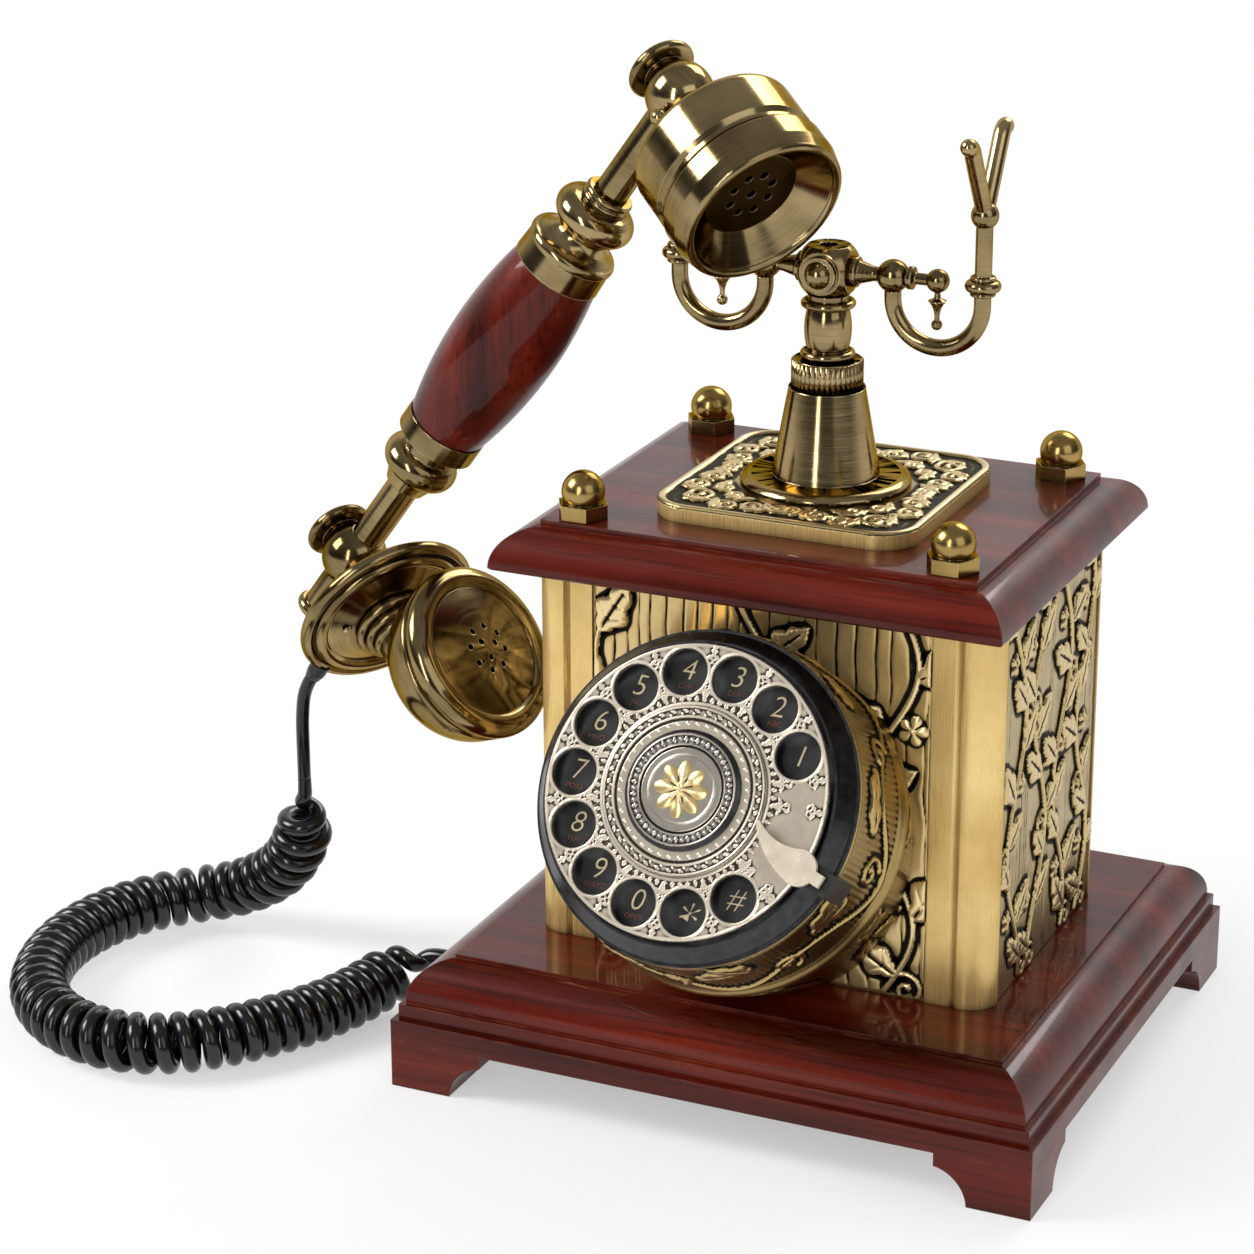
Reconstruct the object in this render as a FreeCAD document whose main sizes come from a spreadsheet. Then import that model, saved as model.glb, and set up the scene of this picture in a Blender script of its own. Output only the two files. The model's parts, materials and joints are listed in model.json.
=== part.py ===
import FreeCAD, Part
import math
import os
from types import SimpleNamespace

import Sketcher
from FreeCAD import Placement, Rotation, Vector

# Driving dimensions in millimetres and degrees: name, value, what it measures
DIMENSIONS = [
    ("base_x", 37.786, "base centre right of the frame's origin"),
    ("base_y", 16.28, "base centre behind the frame's origin"),
    ("base_width", 200.0, "base frame, left to right"),
    ("base_depth", 179.5, "base frame, front to back"),
    ("foot_height", 14.8, "bracket foot, floor to frame"),
    ("foot_bottom", 19.0, "foot width on the floor"),
    ("foot_top", 29.0, "foot width under the frame"),
    ("foot_step", 4.0, "upright edge at the top of a foot"),
    ("frame_height", 6.6, "base frame rail height"),
    ("frame_rail", 30.0, "base frame rail width"),
    ("board_inset", 1.85, "base board set back from the frame"),
    ("board_fillet", 4.65, "upright edge of the base board"),
    ("board_ledge", 1.65, "ledge above the upright edge"),
    ("board_round", 12.2, "height of the base moulding"),
    ("board_slope", 11.0, "depth of the base moulding"),
    ("board_panel", 1.2, "raised panel on the base board"),
    ("cover_margin", 25.0, "base edge to the side of the bottom cover"),
    ("cover_gap", 0.25, "bottom cover to the feet"),
    ("cover_thickness", 2.0, "bottom cover sheet"),
    ("screw_radius", 1.45, "cover screw shank radius"),
    ("screw_length", 6.0, "cover screw shank length in the frame"),
    ("screw_head", 2.8, "cover screw head radius"),
    ("screw_head_height", 1.4, "cover screw head height"),
    ("screw_spacing", 80.0, "cover screws, front to back"),
    ("body_width", 143.4, "cabinet, left to right"),
    ("body_depth", 97.9, "cabinet, front to back"),
    ("body_height", 118.05, "cabinet, base board to cap"),
    ("post_width", 19.3, "corner post seen from the front"),
    ("post_depth", 8.0, "corner post seen from the side"),
    ("post_round", 10.0, "rounded part of a corner post"),
    ("post_groove", 1.2, "groove beside the rounded part"),
    ("panel_recess", 0.8, "panels set back from the posts"),
    ("panel_thickness", 4.0, "cabinet panel"),
    ("panel_mouth", 32.0, "opening of the front panel behind the dial, radius"),
    ("cap_width", 155.9, "top cap, left to right"),
    ("cap_depth", 130.1, "top cap, front to back"),
    ("cap_round", 11.4, "height of the cap moulding"),
    ("cap_slope", 11.5, "depth of the cap moulding"),
    ("cap_edge", 0.7, "bevel under the top cap's edge"),
    ("cap_panel", 1.96, "raised panel on the cap"),
    ("rod_radius", 2.0, "tie rod radius"),
    ("rod_spacing_x", 112.8, "tie rods, left to right"),
    ("rod_spacing_y", 91.8, "tie rods, front to back"),
    ("rod_clearance", 0.1, "tie rod to its bores"),
    ("nut_radius", 7.75, "acorn nut across corners, half"),
    ("nut_height", 4.5, "acorn nut hexagon height"),
    ("dome_radius", 6.3, "acorn nut ball radius"),
    ("dome_rise", 7.6, "acorn nut ball centre above the cap"),
    ("rod_nut_radius", 4.0, "lower nut across corners, half"),
    ("rod_nut_height", 3.5, "lower nut height"),
    ("jack_width", 12.0, "cord socket width"),
    ("jack_length", 14.0, "cord socket depth into the rail"),
    ("jack_height", 5.6, "cord socket height"),
    ("jack_hole", 7.0, "cord socket mouth width"),
    ("jack_mouth", 4.4, "cord socket mouth height"),
    ("jack_depth", 10.0, "cord socket mouth depth"),
    ("line_jack_x", -40.0, "line socket beside the centre of the back"),
    ("handset_jack_y", -38.0, "handset socket on the left side"),
    ("plate_side", 80.0, "cradle plate side"),
    ("plate_corner", 12.0, "cradle plate corner radius"),
    ("plate_thickness", 4.3, "cradle plate thickness"),
    ("flange_radius", 25.0, "cone flange radius"),
    ("flange_height", 3.2, "cone flange height"),
    ("cone_bottom", 15.8, "cone radius at the flange"),
    ("cone_top", 11.2, "cone radius at the collar"),
    ("cone_height", 26.0, "cone height above the flange"),
    ("collar_radius", 9.8, "knurled collar radius"),
    ("collar_height", 8.4, "knurled collar height"),
    ("column_foot", 5.5, "sliding foot of the cradle column, radius"),
    ("column_ring", 8.0, "column rings, radius"),
    ("column_belly", 6.9, "column belly, radius"),
    ("column_neck", 6.0, "column necks, radius"),
    ("column_ring_height", 2.4, "column ring height"),
    ("column_gap", 1.6, "upper column ring below the hub"),
    ("slide_clearance", 0.06, "sliding column and rods to their guides"),
    ("ring_clearance", 0.3, "column ring above the collar"),
    ("press_travel", 4.0, "travel of the cradle"),
    ("hub_size", 14.4, "cradle hub block"),
    ("hub_ball", 9.5, "ball that rounds the hub block"),
    ("hub_height", 239.2, "cradle arm axis above the floor"),
    ("boss_radius", 5.2, "round boss on the hub"),
    ("boss_height", 1.6, "boss height"),
    ("hub_hole", 2.8, "hole in the top of the hub, radius"),
    ("arm_flange", 4.4, "arm flange radius"),
    ("arm_thin", 2.1, "arm radius at its thinnest"),
    ("arm_ball", 4.8, "large arm ball radius"),
    ("arm_ball_x", 19.65, "large arm ball from the centre"),
    ("arm_tip", 3.4, "arm end ball radius"),
    ("arm_tip_x", 33.1, "arm end ball from the centre"),
    ("arm_ring", 3.3, "arm ring radius"),
    ("arm_collar", 1.8, "collars along a cradle arm, width"),
    ("arm_bevel", 0.8, "bevel beside a collar of the cradle arm"),
    ("drop_length", 11.0, "hanging finial length"),
    ("drop_cone", 2.7, "hanging finial dish radius"),
    ("drop_dish", 2.4, "hanging finial dish below its top"),
    ("drop_waist", 0.8, "hanging finial waist radius"),
    ("drop_ball", 1.6, "hanging finial ball radius"),
    ("hook_radius", 2.45, "hook and fork rod radius"),
    ("fork_x", 46.6, "fork from the centre"),
    ("hook_drop", 1.9, "hook rod straight below the arm ball"),
    ("fork_rise", 20.3, "fork branching point above the arm axis"),
    ("fork_ball", 4.0, "ball at the branching point, radius"),
    ("prong_lean", 30.1265, "prong from the upright, angle"),
    ("prong_length", 23.6, "straight run of a prong"),
    ("prong_bend", 4.0, "bend at the end of a prong, centre line radius"),
    ("prong_turn", 55.0, "bend at the end of a prong, angle"),
    ("fork_collar", 5.2, "ring on the fork post, radius"),
    ("fork_collar_height", 3.4, "ring on the fork post, height"),
    ("fork_bead", 3.7, "beads above and below that ring, radius"),
    ("fork_bead_height", 1.2, "beads above and below that ring, height"),
    ("plunger_radius", 2.5, "rod under the cradle column, radius"),
    ("plunger_bottom", 146.6, "lower end of the plunger rod above the floor"),
    ("plunger_clearance", 0.5, "plunger rod to cap and plate"),
    ("spring_wire", 0.9, "return spring wire diameter"),
    ("spring_radius", 4.1, "return spring coil radius"),
    ("spring_turns", 4.0, "return spring turns"),
    ("spring_clip", 5.4, "spring clip radius"),
    ("spring_clip_height", 1.2, "spring clip height"),
    ("switch_length", 22.0, "hook switch, left to right"),
    ("switch_width", 12.0, "hook switch, front to back"),
    ("switch_height", 8.0, "hook switch body height"),
    ("switch_x", 10.0, "hook switch beside the plunger"),
    ("lever_pivot_x", 17.0, "hook lever pivot beside the plunger"),
    ("lever_width", 4.0, "hook lever width"),
    ("lever_thickness", 1.6, "hook lever thickness"),
    ("lever_gap", 0.3, "plunger rod to hook lever"),
    ("lever_pin", 1.2, "hook lever pin radius"),
    ("pin_clearance", 0.05, "hook lever pin to its ears"),
    ("dial_tilt", 31.3, "dial axis above level"),
    ("dial_reach", 51.75, "finger wheel centre in front of the cabinet"),
    ("dial_rise", 76.45, "finger wheel centre above the base board"),
    ("wheel_radius", 41.6, "finger wheel radius"),
    ("wheel_thickness", 1.6, "finger wheel thickness"),
    ("hole_circle", 33.63, "finger holes from the centre"),
    ("hole_radius", 6.6, "finger hole radius"),
    ("hole_first", 26.17, "first finger hole, angle"),
    ("hole_step", 25.59, "finger holes, angle apart"),
    ("hub_disc", 24.0, "raised centre of the finger wheel, radius"),
    ("hub_disc_height", 1.0, "raised centre of the finger wheel, height"),
    ("badge_radius", 17.0, "centre cap radius"),
    ("badge_height", 1.6, "centre cap height"),
    ("shaft_radius", 3.0, "dial shaft radius"),
    ("shaft_clearance", 0.05, "dial shaft to its bush"),
    ("number_drop", 4.4, "bezel ledge over the number plate below the finger wheel face"),
    ("number_thickness", 1.0, "number plate thickness"),
    ("bezel_inner", 42.2, "bezel bore radius"),
    ("bezel_radius", 46.6, "bezel outer radius"),
    ("bezel_drop", 8.9, "bezel outer edge below the finger wheel face"),
    ("bezel_top", 2.4, "bezel inner edge below the finger wheel face"),
    ("bezel_edge", 0.8, "bevelled edges of the bezel"),
    ("bezel_lap", 1.2, "bezel ring inside the drum wall"),
    ("drum_front", 47.5, "dial drum radius behind the bezel"),
    ("drum_bead", 51.0, "dial drum bead radius"),
    ("drum_bead_depth", 41.0, "dial drum bead behind the finger wheel face"),
    ("drum_back", 43.0, "dial drum radius at its back end"),
    ("drum_length", 92.0, "dial drum behind the finger wheel face"),
    ("drum_wall", 2.4, "dial drum wall"),
    ("mechanism_radius", 38.0, "mechanism plate radius"),
    ("mechanism_thickness", 1.6, "mechanism plate thickness"),
    ("mechanism_depth", 16.0, "mechanism plate behind the finger wheel face"),
    ("pillar_radius", 2.4, "pillars under the number plate, radius"),
    ("pillar_circle", 34.0, "pillars from the dial centre"),
    ("gear_radius", 16.0, "dial gear pitch radius"),
    ("pulse_radius", 6.4, "pulse gear pitch radius"),
    ("gear_thickness", 2.0, "gear thickness"),
    ("gear_depth", 22.0, "gears behind the finger wheel face"),
    ("tooth_height", 0.5, "gear tooth above the pitch circle"),
    ("tooth_clearance", 0.35, "gear tooth tip to the other wheel"),
    ("pulse_shaft", 1.5, "pulse gear pin radius"),
    ("stop_angle", -22.0, "finger stop around the dial"),
    ("stop_reach", 24.0, "finger stop tip from the dial centre"),
    ("stop_tip_side", 4.1, "finger stop tip beside its middle line"),
    ("stop_belly", 0.6, "lower edge of the finger stop beyond its middle line"),
    ("stop_waist", 2.9, "upper edge of the finger stop beside its middle line"),
    ("stop_pad", 5.15, "round end of the finger stop, radius"),
    ("stop_pad_circle", 41.5, "round end from the dial centre"),
    ("stop_gap", 2.8, "finger stop above the finger wheel"),
    ("stop_thickness", 1.5, "finger stop sheet"),
    ("stop_width", 3.6, "finger stop arm width"),
    ("stop_foot", 7.0, "finger stop bracket width"),
    ("stop_travel", 1.2, "travel of the finger stop"),
    ("stop_pin", 1.2, "finger stop pin radius"),
    ("stop_pin_inset", 1.2, "finger stop pin from the bracket's upright"),
    ("stop_root", 4.0, "finger stop bracket and pin below the drum's front edge"),
    ("stop_shelf", 1.6, "finger stop bracket sheet"),
    ("stop_rest", 0.4, "pressed finger stop above its bracket"),
    ("stop_fit", 0.02, "finger stop bracket to the drum"),
    ("board_length", 90.0, "circuit board length"),
    ("board_width", 60.0, "circuit board width"),
    ("board_sheet", 1.6, "circuit board thickness"),
    ("board_lift", 6.0, "circuit board above the base board"),
    ("sounder_radius", 14.0, "ringer sounder radius"),
    ("sounder_height", 9.0, "ringer sounder height"),
    ("handset_yaw", -32.74, "handset turned about the upright"),
    ("handset_pitch", 30.48, "handset leaning forward"),
    ("handset_roll", -18.9, "handset rolled about the ear axis"),
    ("seat_gap", 0.3, "handset ball to the fork prongs"),
    ("joint_ball", 10.2, "handset joint ball radius"),
    ("joint_flange", 10.4, "handset joint flange radius"),
    ("joint_neck", 6.4, "handset joint neck radius"),
    ("joint_rim", 3.6, "handset joint flange width"),
    ("joint_bevel", 1.4, "rounding of the handset joint flange"),
    ("flange_back", 13.4, "flange end behind the ball centre"),
    ("tube_radius", 5.2, "handset tube radius"),
    ("tube_wall", 1.6, "handset tube wall"),
    ("tube_clearance", 0.03, "handset tube to the pieces on it"),
    ("tube_start", 7.0, "handset tube top end below the ear ball centre"),
    ("tube_end", 211.0, "handset tube lower end"),
    ("tube_flare", 6.8, "flared lower end of the handset tube, radius"),
    ("flare_height", 3.2, "flared lower end of the handset tube, height"),
    ("handset_length", 189.3, "ear ball centre to mouth ball centre"),
    ("ear_back", 18.6, "ear can back from the ball centre"),
    ("ear_split", 37.0, "ear can to ear cap from the ball centre"),
    ("ear_front", 50.3, "ear cap rim from the ball centre"),
    ("ear_radius", 25.4, "ear can radius"),
    ("ear_ring", 26.0, "ear cap ring radius"),
    ("ear_wall", 2.0, "ear can wall"),
    ("ear_edge", 3.0, "rounded back edge of the ear can"),
    ("ear_groove", 1.6, "groove between ear can and ear cap, width"),
    ("ear_step", 1.0, "groove between ear can and ear cap, depth"),
    ("ear_roll", 5.0, "rounded front of the ear cap, depth"),
    ("funnel_mouth", 22.0, "ear funnel mouth radius"),
    ("funnel_throat", 14.4, "ear funnel throat radius"),
    ("funnel_depth", 8.0, "ear funnel depth"),
    ("grille_thickness", 1.6, "ear grille thickness"),
    ("grille_hole", 1.3, "ear grille hole radius"),
    ("grille_circle", 6.8, "ear grille holes from the middle"),
    ("receiver_radius", 18.0, "receiver capsule radius"),
    ("receiver_length", 14.0, "receiver capsule length"),
    ("upper_rings", 37.5, "thin rings below the ear ball centre"),
    ("ring_radius", 7.6, "thin ring radius"),
    ("ring_half", 1.0, "thin ring, half its width"),
    ("ring_groove", 0.6, "groove between thin rings, depth"),
    ("upper_bead", 46.5, "upper bead below the ear ball centre"),
    ("upper_bead_radius", 12.6, "upper bead radius"),
    ("bead_half", 4.6, "bead half height"),
    ("ferrule_neck", 8.6, "ferrule neck radius"),
    ("upper_band", 57.5, "upper band below the ear ball centre"),
    ("upper_band_radius", 14.0, "upper band radius"),
    ("grip_top", 67.5, "grip top below the ear ball centre"),
    ("grip_bottom", 132.0, "grip bottom below the ear ball centre"),
    ("grip_top_radius", 13.5, "grip radius at the top"),
    ("grip_middle_radius", 16.5, "grip radius in the middle"),
    ("grip_bottom_radius", 12.4, "grip radius at the bottom"),
    ("lower_band_radius", 12.9, "lower band radius"),
    ("lower_band_height", 6.5, "lower band height"),
    ("lower_bead", 148.0, "lower bead below the ear ball centre"),
    ("lower_bead_radius", 12.0, "lower bead radius"),
    ("lower_rings", 157.5, "lower thin ring end below the ear ball centre"),
    ("disc_radius", 28.9, "mouth disc radius"),
    ("disc_roll", 2.2, "rolled rim of the mouth disc, half thickness"),
    ("disc_back", 18.6, "mouth disc back from the ball centre"),
    ("disc_front", 25.2, "mouth disc rim front from the ball centre"),
    ("disc_groove", 1.2, "groove inside the mouth disc's rim, depth"),
    ("disc_step_radius", 24.6, "second ring of the mouth disc, radius"),
    ("disc_ring", 3.2, "second ring of the mouth disc, width"),
    ("disc_bevel", 1.0, "slope behind the mouth disc"),
    ("disc_hub", 4.0, "flat middle of the mouth disc's back beyond the joint neck"),
    ("neck_root", 4.0, "mouth neck short of the bell axis"),
    ("disc_step", 2.8, "dished face of the mouth disc, rise to the neck"),
    ("collar_step_radius", 13.2, "largest mouth neck ring radius"),
    ("collar_step", 3.0, "largest mouth neck ring height"),
    ("collar_shrink", 1.9, "each mouth neck ring smaller than the last, radius"),
    ("mouth_neck", 8.4, "mouth neck radius"),
    ("bell_reach", 63.4, "bell rim centre from the handle axis"),
    ("bell_rise", 25.4, "bell rim centre above the mouth ball"),
    ("bell_angle", 66.0, "bell axis above the ear axis"),
    ("bell_radius", 27.1, "bell rim radius"),
    ("bell_depth", 28.0, "bell rim to bowl bottom"),
    ("bell_lip", 7.0, "rounded bell lip, width"),
    ("bell_roll", 7.2, "rounded bell lip, depth"),
    ("bell_band", 2.2, "thin band behind the bell lip"),
    ("grille_depth", 3.6, "mouth grille seat below the bell rim"),
    ("bell_wall", 2.0, "bell wall"),
    ("cone_rise", 5.0, "mouth grille cone height"),
    ("cone_sheet", 1.2, "mouth grille cone sheet at its tip"),
    ("mouth_hole", 0.95, "mouth grille hole radius"),
    ("mouth_hole_circle", 7.0, "outer mouth grille holes from the middle"),
    ("mouth_hole_inner", 3.2, "inner mouth grille holes from the middle"),
    ("microphone_radius", 13.0, "microphone radius"),
    ("microphone_length", 8.0, "microphone length"),
    ("gland_radius", 3.0, "cord gland radius"),
    ("gland_length", 6.0, "cord gland length"),
    ("gland_side", -10.0, "cord gland beside the handle"),
    ("gland_sink", 2.0, "cord gland into the mouth disc's rim"),
    ("cord_radius", 2.1, "cord radius in its straight lead"),
    ("lead_start", 5.0, "straight cord below the gland"),
    ("coil_wire", 2.6, "cord radius in the curls"),
    ("coil_radius", 6.7, "curl of the cord, centre line radius"),
    ("coil_gap", 0.55, "gap kept between curls on the inside of a bend"),
    ("coil_ease", 15.0, "route over which the curls open and close"),
    ("plug_length", 8.0, "cord plug outside its socket"),
    ("plug_width", 7.8, "cord plug width"),
    ("plug_height", 5.0, "cord plug height"),
]

os.makedirs("parts", exist_ok=True)
doc = FreeCAD.newDocument("telephone")
sheet = doc.addObject("Spreadsheet::Sheet", "Sizes")
for row, (alias, value, note) in enumerate(DIMENSIONS, start=1):
    sheet.set(f"A{row}", alias)
    sheet.set(f"B{row}", str(value))
    sheet.set(f"C{row}", note)
    sheet.setAlias(f"B{row}", alias)
doc.recompute()


class Size:
    """A number together with the sheet expression that gives it."""

    def __init__(self, value, text):
        self.value = float(value)
        self.text = text

    def __float__(self):
        return self.value

    def __neg__(self):
        return Size(-self.value, f"(-{self.text})")

    def __add__(self, other):
        return Size(self.value + float(other), f"({self.text}+{text_of(other)})")

    def __radd__(self, other):
        return Size(float(other) + self.value, f"({text_of(other)}+{self.text})")

    def __sub__(self, other):
        return Size(self.value - float(other), f"({self.text}-{text_of(other)})")

    def __rsub__(self, other):
        return Size(float(other) - self.value, f"({text_of(other)}-{self.text})")

    def __mul__(self, other):
        return Size(self.value * float(other), f"({self.text}*{text_of(other)})")

    def __rmul__(self, other):
        return Size(float(other) * self.value, f"({text_of(other)}*{self.text})")

    def __truediv__(self, other):
        return Size(self.value / float(other), f"({self.text}/{text_of(other)})")


def text_of(size):
    """The expression text of a Size or of a plain number."""
    return size.text if isinstance(size, Size) else repr(float(size))


S = SimpleNamespace(**{alias: Size(sheet.get(alias), f"Sizes.{alias}") for alias, _, _ in DIMENSIONS})
ORIGIN = Placement(Vector(float(S.base_x), float(S.base_y), 0), Rotation())
SIDES = (-1, 1)
STEPS_PER_TURN = 24
LAZY_TURN = 0.3
pieces = []


def bind(obj, **sizes):
    """Bind properties to the sheet, or set those that are plain numbers."""
    for name, size in sizes.items():
        if isinstance(size, Size):
            obj.setExpression(name, size.text)
        setattr(obj, name, float(size))


def at(frame, x=0.0, y=0.0, z=0.0, turn=None):
    """A placement inside a frame."""
    return frame.multiply(Placement(Vector(float(x), float(y), float(z)), turn or Rotation()))


def keep(obj, label):
    """Name a finished sub-part; its label names its file."""
    obj.Label = label
    pieces.append(obj)
    return obj


def box(name, length, width, height, place=ORIGIN):
    obj = doc.addObject("Part::Box", name)
    bind(obj, Length=length, Width=width, Height=height)
    obj.Placement = place
    return obj


def centred_box(name, length, width, height, frame=ORIGIN, x=0.0, y=0.0, z=0.0):
    """A block centred on x and y that stands on z."""
    return box(name, length, width, height, at(frame, x - length / 2, y - width / 2, z))


def cylinder(name, radius, height, place=ORIGIN):
    obj = doc.addObject("Part::Cylinder", name)
    bind(obj, Radius=radius, Height=height)
    obj.Placement = place
    return obj


def ball(name, radius, place=ORIGIN):
    obj = doc.addObject("Part::Sphere", name)
    bind(obj, Radius=radius)
    obj.Placement = place
    return obj


def hexagon(name, radius, height, place=ORIGIN):
    obj = doc.addObject("Part::Prism", name)
    obj.Polygon = 6
    bind(obj, Circumradius=radius, Height=height)
    obj.Placement = place
    return obj


def fuse(name, *shapes):
    obj = doc.addObject("Part::MultiFuse", name)
    obj.Shapes = list(shapes)
    return obj


def common(name, *shapes):
    obj = doc.addObject("Part::MultiCommon", name)
    obj.Shapes = list(shapes)
    return obj


def cut(name, base, *tools):
    obj = doc.addObject("Part::Cut", name)
    obj.Base = base
    obj.Tool = tools[0] if len(tools) == 1 else fuse(name + "_tools", *tools)
    return obj


def group(name, shapes):
    obj = doc.addObject("Part::Compound", name)
    obj.Links = list(shapes)
    return obj


def solid(name, shape):
    """A feature whose shape is made directly."""
    obj = doc.addObject("Part::Feature", name)
    obj.Shape = shape
    return obj


def new_body(name, frame):
    body = doc.addObject("PartDesign::Body", name)
    body.Placement = frame
    return body


def new_sketch(body, role):
    plane = next(f for f in body.Origin.OriginFeatures if f.Role == role)
    sketch = body.newObject("Sketcher::SketchObject", body.Name + "_profile")
    sketch.AttachmentSupport = [(plane, "")]
    sketch.MapMode = "FlatFace"
    return sketch


def pin_point(sketch, geometry, position, point):
    """Hold a sketch point at sheet sizes."""
    for kind, size in zip(("DistanceX", "DistanceY"), point):
        index = sketch.addConstraint(Sketcher.Constraint(kind, geometry, position, float(size)))
        if isinstance(size, Size):
            sketch.setExpression(f"Constraints[{index}]", size.text)


def draw_outline(sketch, outline):
    """A closed outline: corners (u, v), or (via u, via v, u, v) for an arc that ends in a corner."""
    corners = [corner[-2:] for corner in outline]
    ends = []
    for index, corner in enumerate(outline):
        start, end = corners[index - 1], corner[-2:]
        first, last = (Vector(float(p[0]), float(p[1]), 0) for p in (start, end))
        if len(corner) == 2:
            edge = sketch.addGeometry(Part.LineSegment(first, last), False)
            ends.append((edge, 1, 2))
        else:
            via = corner[:2]
            middle = Vector(float(via[0]), float(via[1]), 0)
            edge = sketch.addGeometry(Part.Arc(first, middle, last), False)
            forward = sketch.getPoint(edge, 1).distanceToPoint(first) < 1e-6
            ends.append((edge, 1, 2) if forward else (edge, 2, 1))
            mark = sketch.addGeometry(Part.Point(middle), True)
            pin_point(sketch, mark, 1, via)
            sketch.addConstraint(Sketcher.Constraint("PointOnObject", mark, 1, edge))
    for index, (edge, start, end) in enumerate(ends):
        following, next_start, _ = ends[(index + 1) % len(ends)]
        sketch.addConstraint(Sketcher.Constraint("Coincident", edge, end, following, next_start))
        pin_point(sketch, edge, end, corners[index])


def draw_circle(sketch, x, y, radius):
    outline = Part.Circle(Vector(float(x), float(y), 0), Vector(0, 0, 1), float(radius))
    circle = sketch.addGeometry(outline, False)
    index = sketch.addConstraint(Sketcher.Constraint("Radius", circle, float(radius)))
    if isinstance(radius, Size):
        sketch.setExpression(f"Constraints[{index}]", radius.text)
    pin_point(sketch, circle, 3, (x, y))


def turned(name, outline, frame=ORIGIN):
    """A piece turned about the frame's Z axis from its (radius, z) outline."""
    body = new_body(name, frame)
    sketch = new_sketch(body, "XZ_Plane")
    draw_outline(sketch, outline)
    turn = body.newObject("PartDesign::Revolution", name + "_turn")
    turn.Profile = sketch
    turn.ReferenceAxis = (sketch, ["V_Axis"])
    turn.Angle = 360.0
    return body


def padded(name, outline, height, frame=ORIGIN, holes=(), role="XY_Plane", middle=False):
    """A plate padded from an outline or a round plate from a radius, with round holes (x, y, radius)."""
    body = new_body(name, frame)
    sketch = new_sketch(body, role)
    if isinstance(outline, list):
        draw_outline(sketch, outline)
    else:
        draw_circle(sketch, 0.0, 0.0, outline)
    for x, y, radius in holes:
        draw_circle(sketch, x, y, radius)
    pad = body.newObject("PartDesign::Pad", name + "_pad")
    pad.Profile = sketch
    bind(pad, Length=height)
    pad.Midplane = middle
    return body


def mirrored_outline(half_width, side):
    """The full outline of a section from its right half, given as (inset, height) corners."""
    right = [point_from_inset(half_width, corner, 1) for corner in side]
    left = []
    for index in range(len(side) - 1, -1, -1):
        via = side[index + 1][:-2] if index + 1 < len(side) else ()
        left.append(point_from_inset(half_width, tuple(via) + tuple(side[index][-2:]), -1))
    return right + left


def point_from_inset(half_width, corner, sign):
    """Turn (inset, height) pairs into sketch points on one side of the middle."""
    points = []
    for inset, height in zip(corner[::2], corner[1::2]):
        points += [(half_width - inset) * sign, height]
    return tuple(points)


def moulded_board(name, width, depth, side):
    """A board with the same moulding mitred round its four edges."""
    across = padded(name + "_across", mirrored_outline(width / 2, side), depth, role="XZ_Plane", middle=True)
    along = padded(name + "_along", mirrored_outline(depth / 2, side), width, role="YZ_Plane", middle=True)
    return common(name, across, along)


def rod_places(z):
    return [(sx, sy, at(ORIGIN, S.rod_spacing_x / 2 * sx, S.rod_spacing_y / 2 * sy, z))
            for sx in SIDES for sy in SIDES]


# Levels of the base and the cabinet above the floor
frame_top = S.foot_height + S.frame_height
moulding_foot = frame_top + S.board_fillet
moulding_top = moulding_foot + S.board_round
board_top = moulding_top + S.board_panel
body_top = board_top + S.body_height
cap_shoulder = body_top + S.cap_round
cap_top = cap_shoulder + S.cap_panel
BORE = S.rod_radius + S.rod_clearance


# Base
def foot(name, sx, sy):
    """A corner bracket foot whose two outer sides end in the same curve."""
    slope = S.foot_height - S.foot_step
    bend = (S.foot_bottom + (S.foot_top - S.foot_bottom) * 0.3, slope * 0.66)

    def profile(half, sign):
        points = [(S.foot_top, S.foot_height), (0.0, S.foot_height), (0.0, 0.0), (S.foot_bottom, 0.0),
                  (*bend, S.foot_top, slope)]
        return [point_from_inset(half, corner, sign) for corner in points]

    across = padded(name + "_across", profile(S.base_width / 2, sx), S.base_depth, role="XZ_Plane",
                    middle=True)
    along = padded(name + "_along", profile(S.base_depth / 2, sy), S.base_width, role="YZ_Plane",
                   middle=True)
    return common(name, across, along)


feet = [foot(f"foot_{sx + 1}{sy + 1}", sx, sy) for sx in SIDES for sy in SIDES]
keep(group("foot_group", feet), "bracket_feet")

JACK_LEFT = at(ORIGIN, -S.base_width / 2, S.handset_jack_y, S.foot_height, Rotation(Vector(0, 0, 1), 90))
JACK_BACK = at(ORIGIN, S.line_jack_x, S.base_depth / 2, S.foot_height)


def jack_space(name, place):
    """The block of the rail that a cord socket fills; the socket faces the frame's +Y."""
    return centred_box(name, S.jack_width, S.jack_length, S.jack_height, place, y=-S.jack_length / 2)


def jack(name, place):
    body = jack_space(name + "_body", place)
    sill = (S.jack_height - S.jack_mouth) / 2
    mouth = centred_box(name + "_mouth", S.jack_hole, S.jack_depth, S.jack_mouth, place,
                        y=-S.jack_depth / 2, z=sill)
    return cut(name, body, mouth)


keep(group("jack_group", [jack("jack_left", JACK_LEFT), jack("jack_back", JACK_BACK)]), "cord_sockets")

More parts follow.
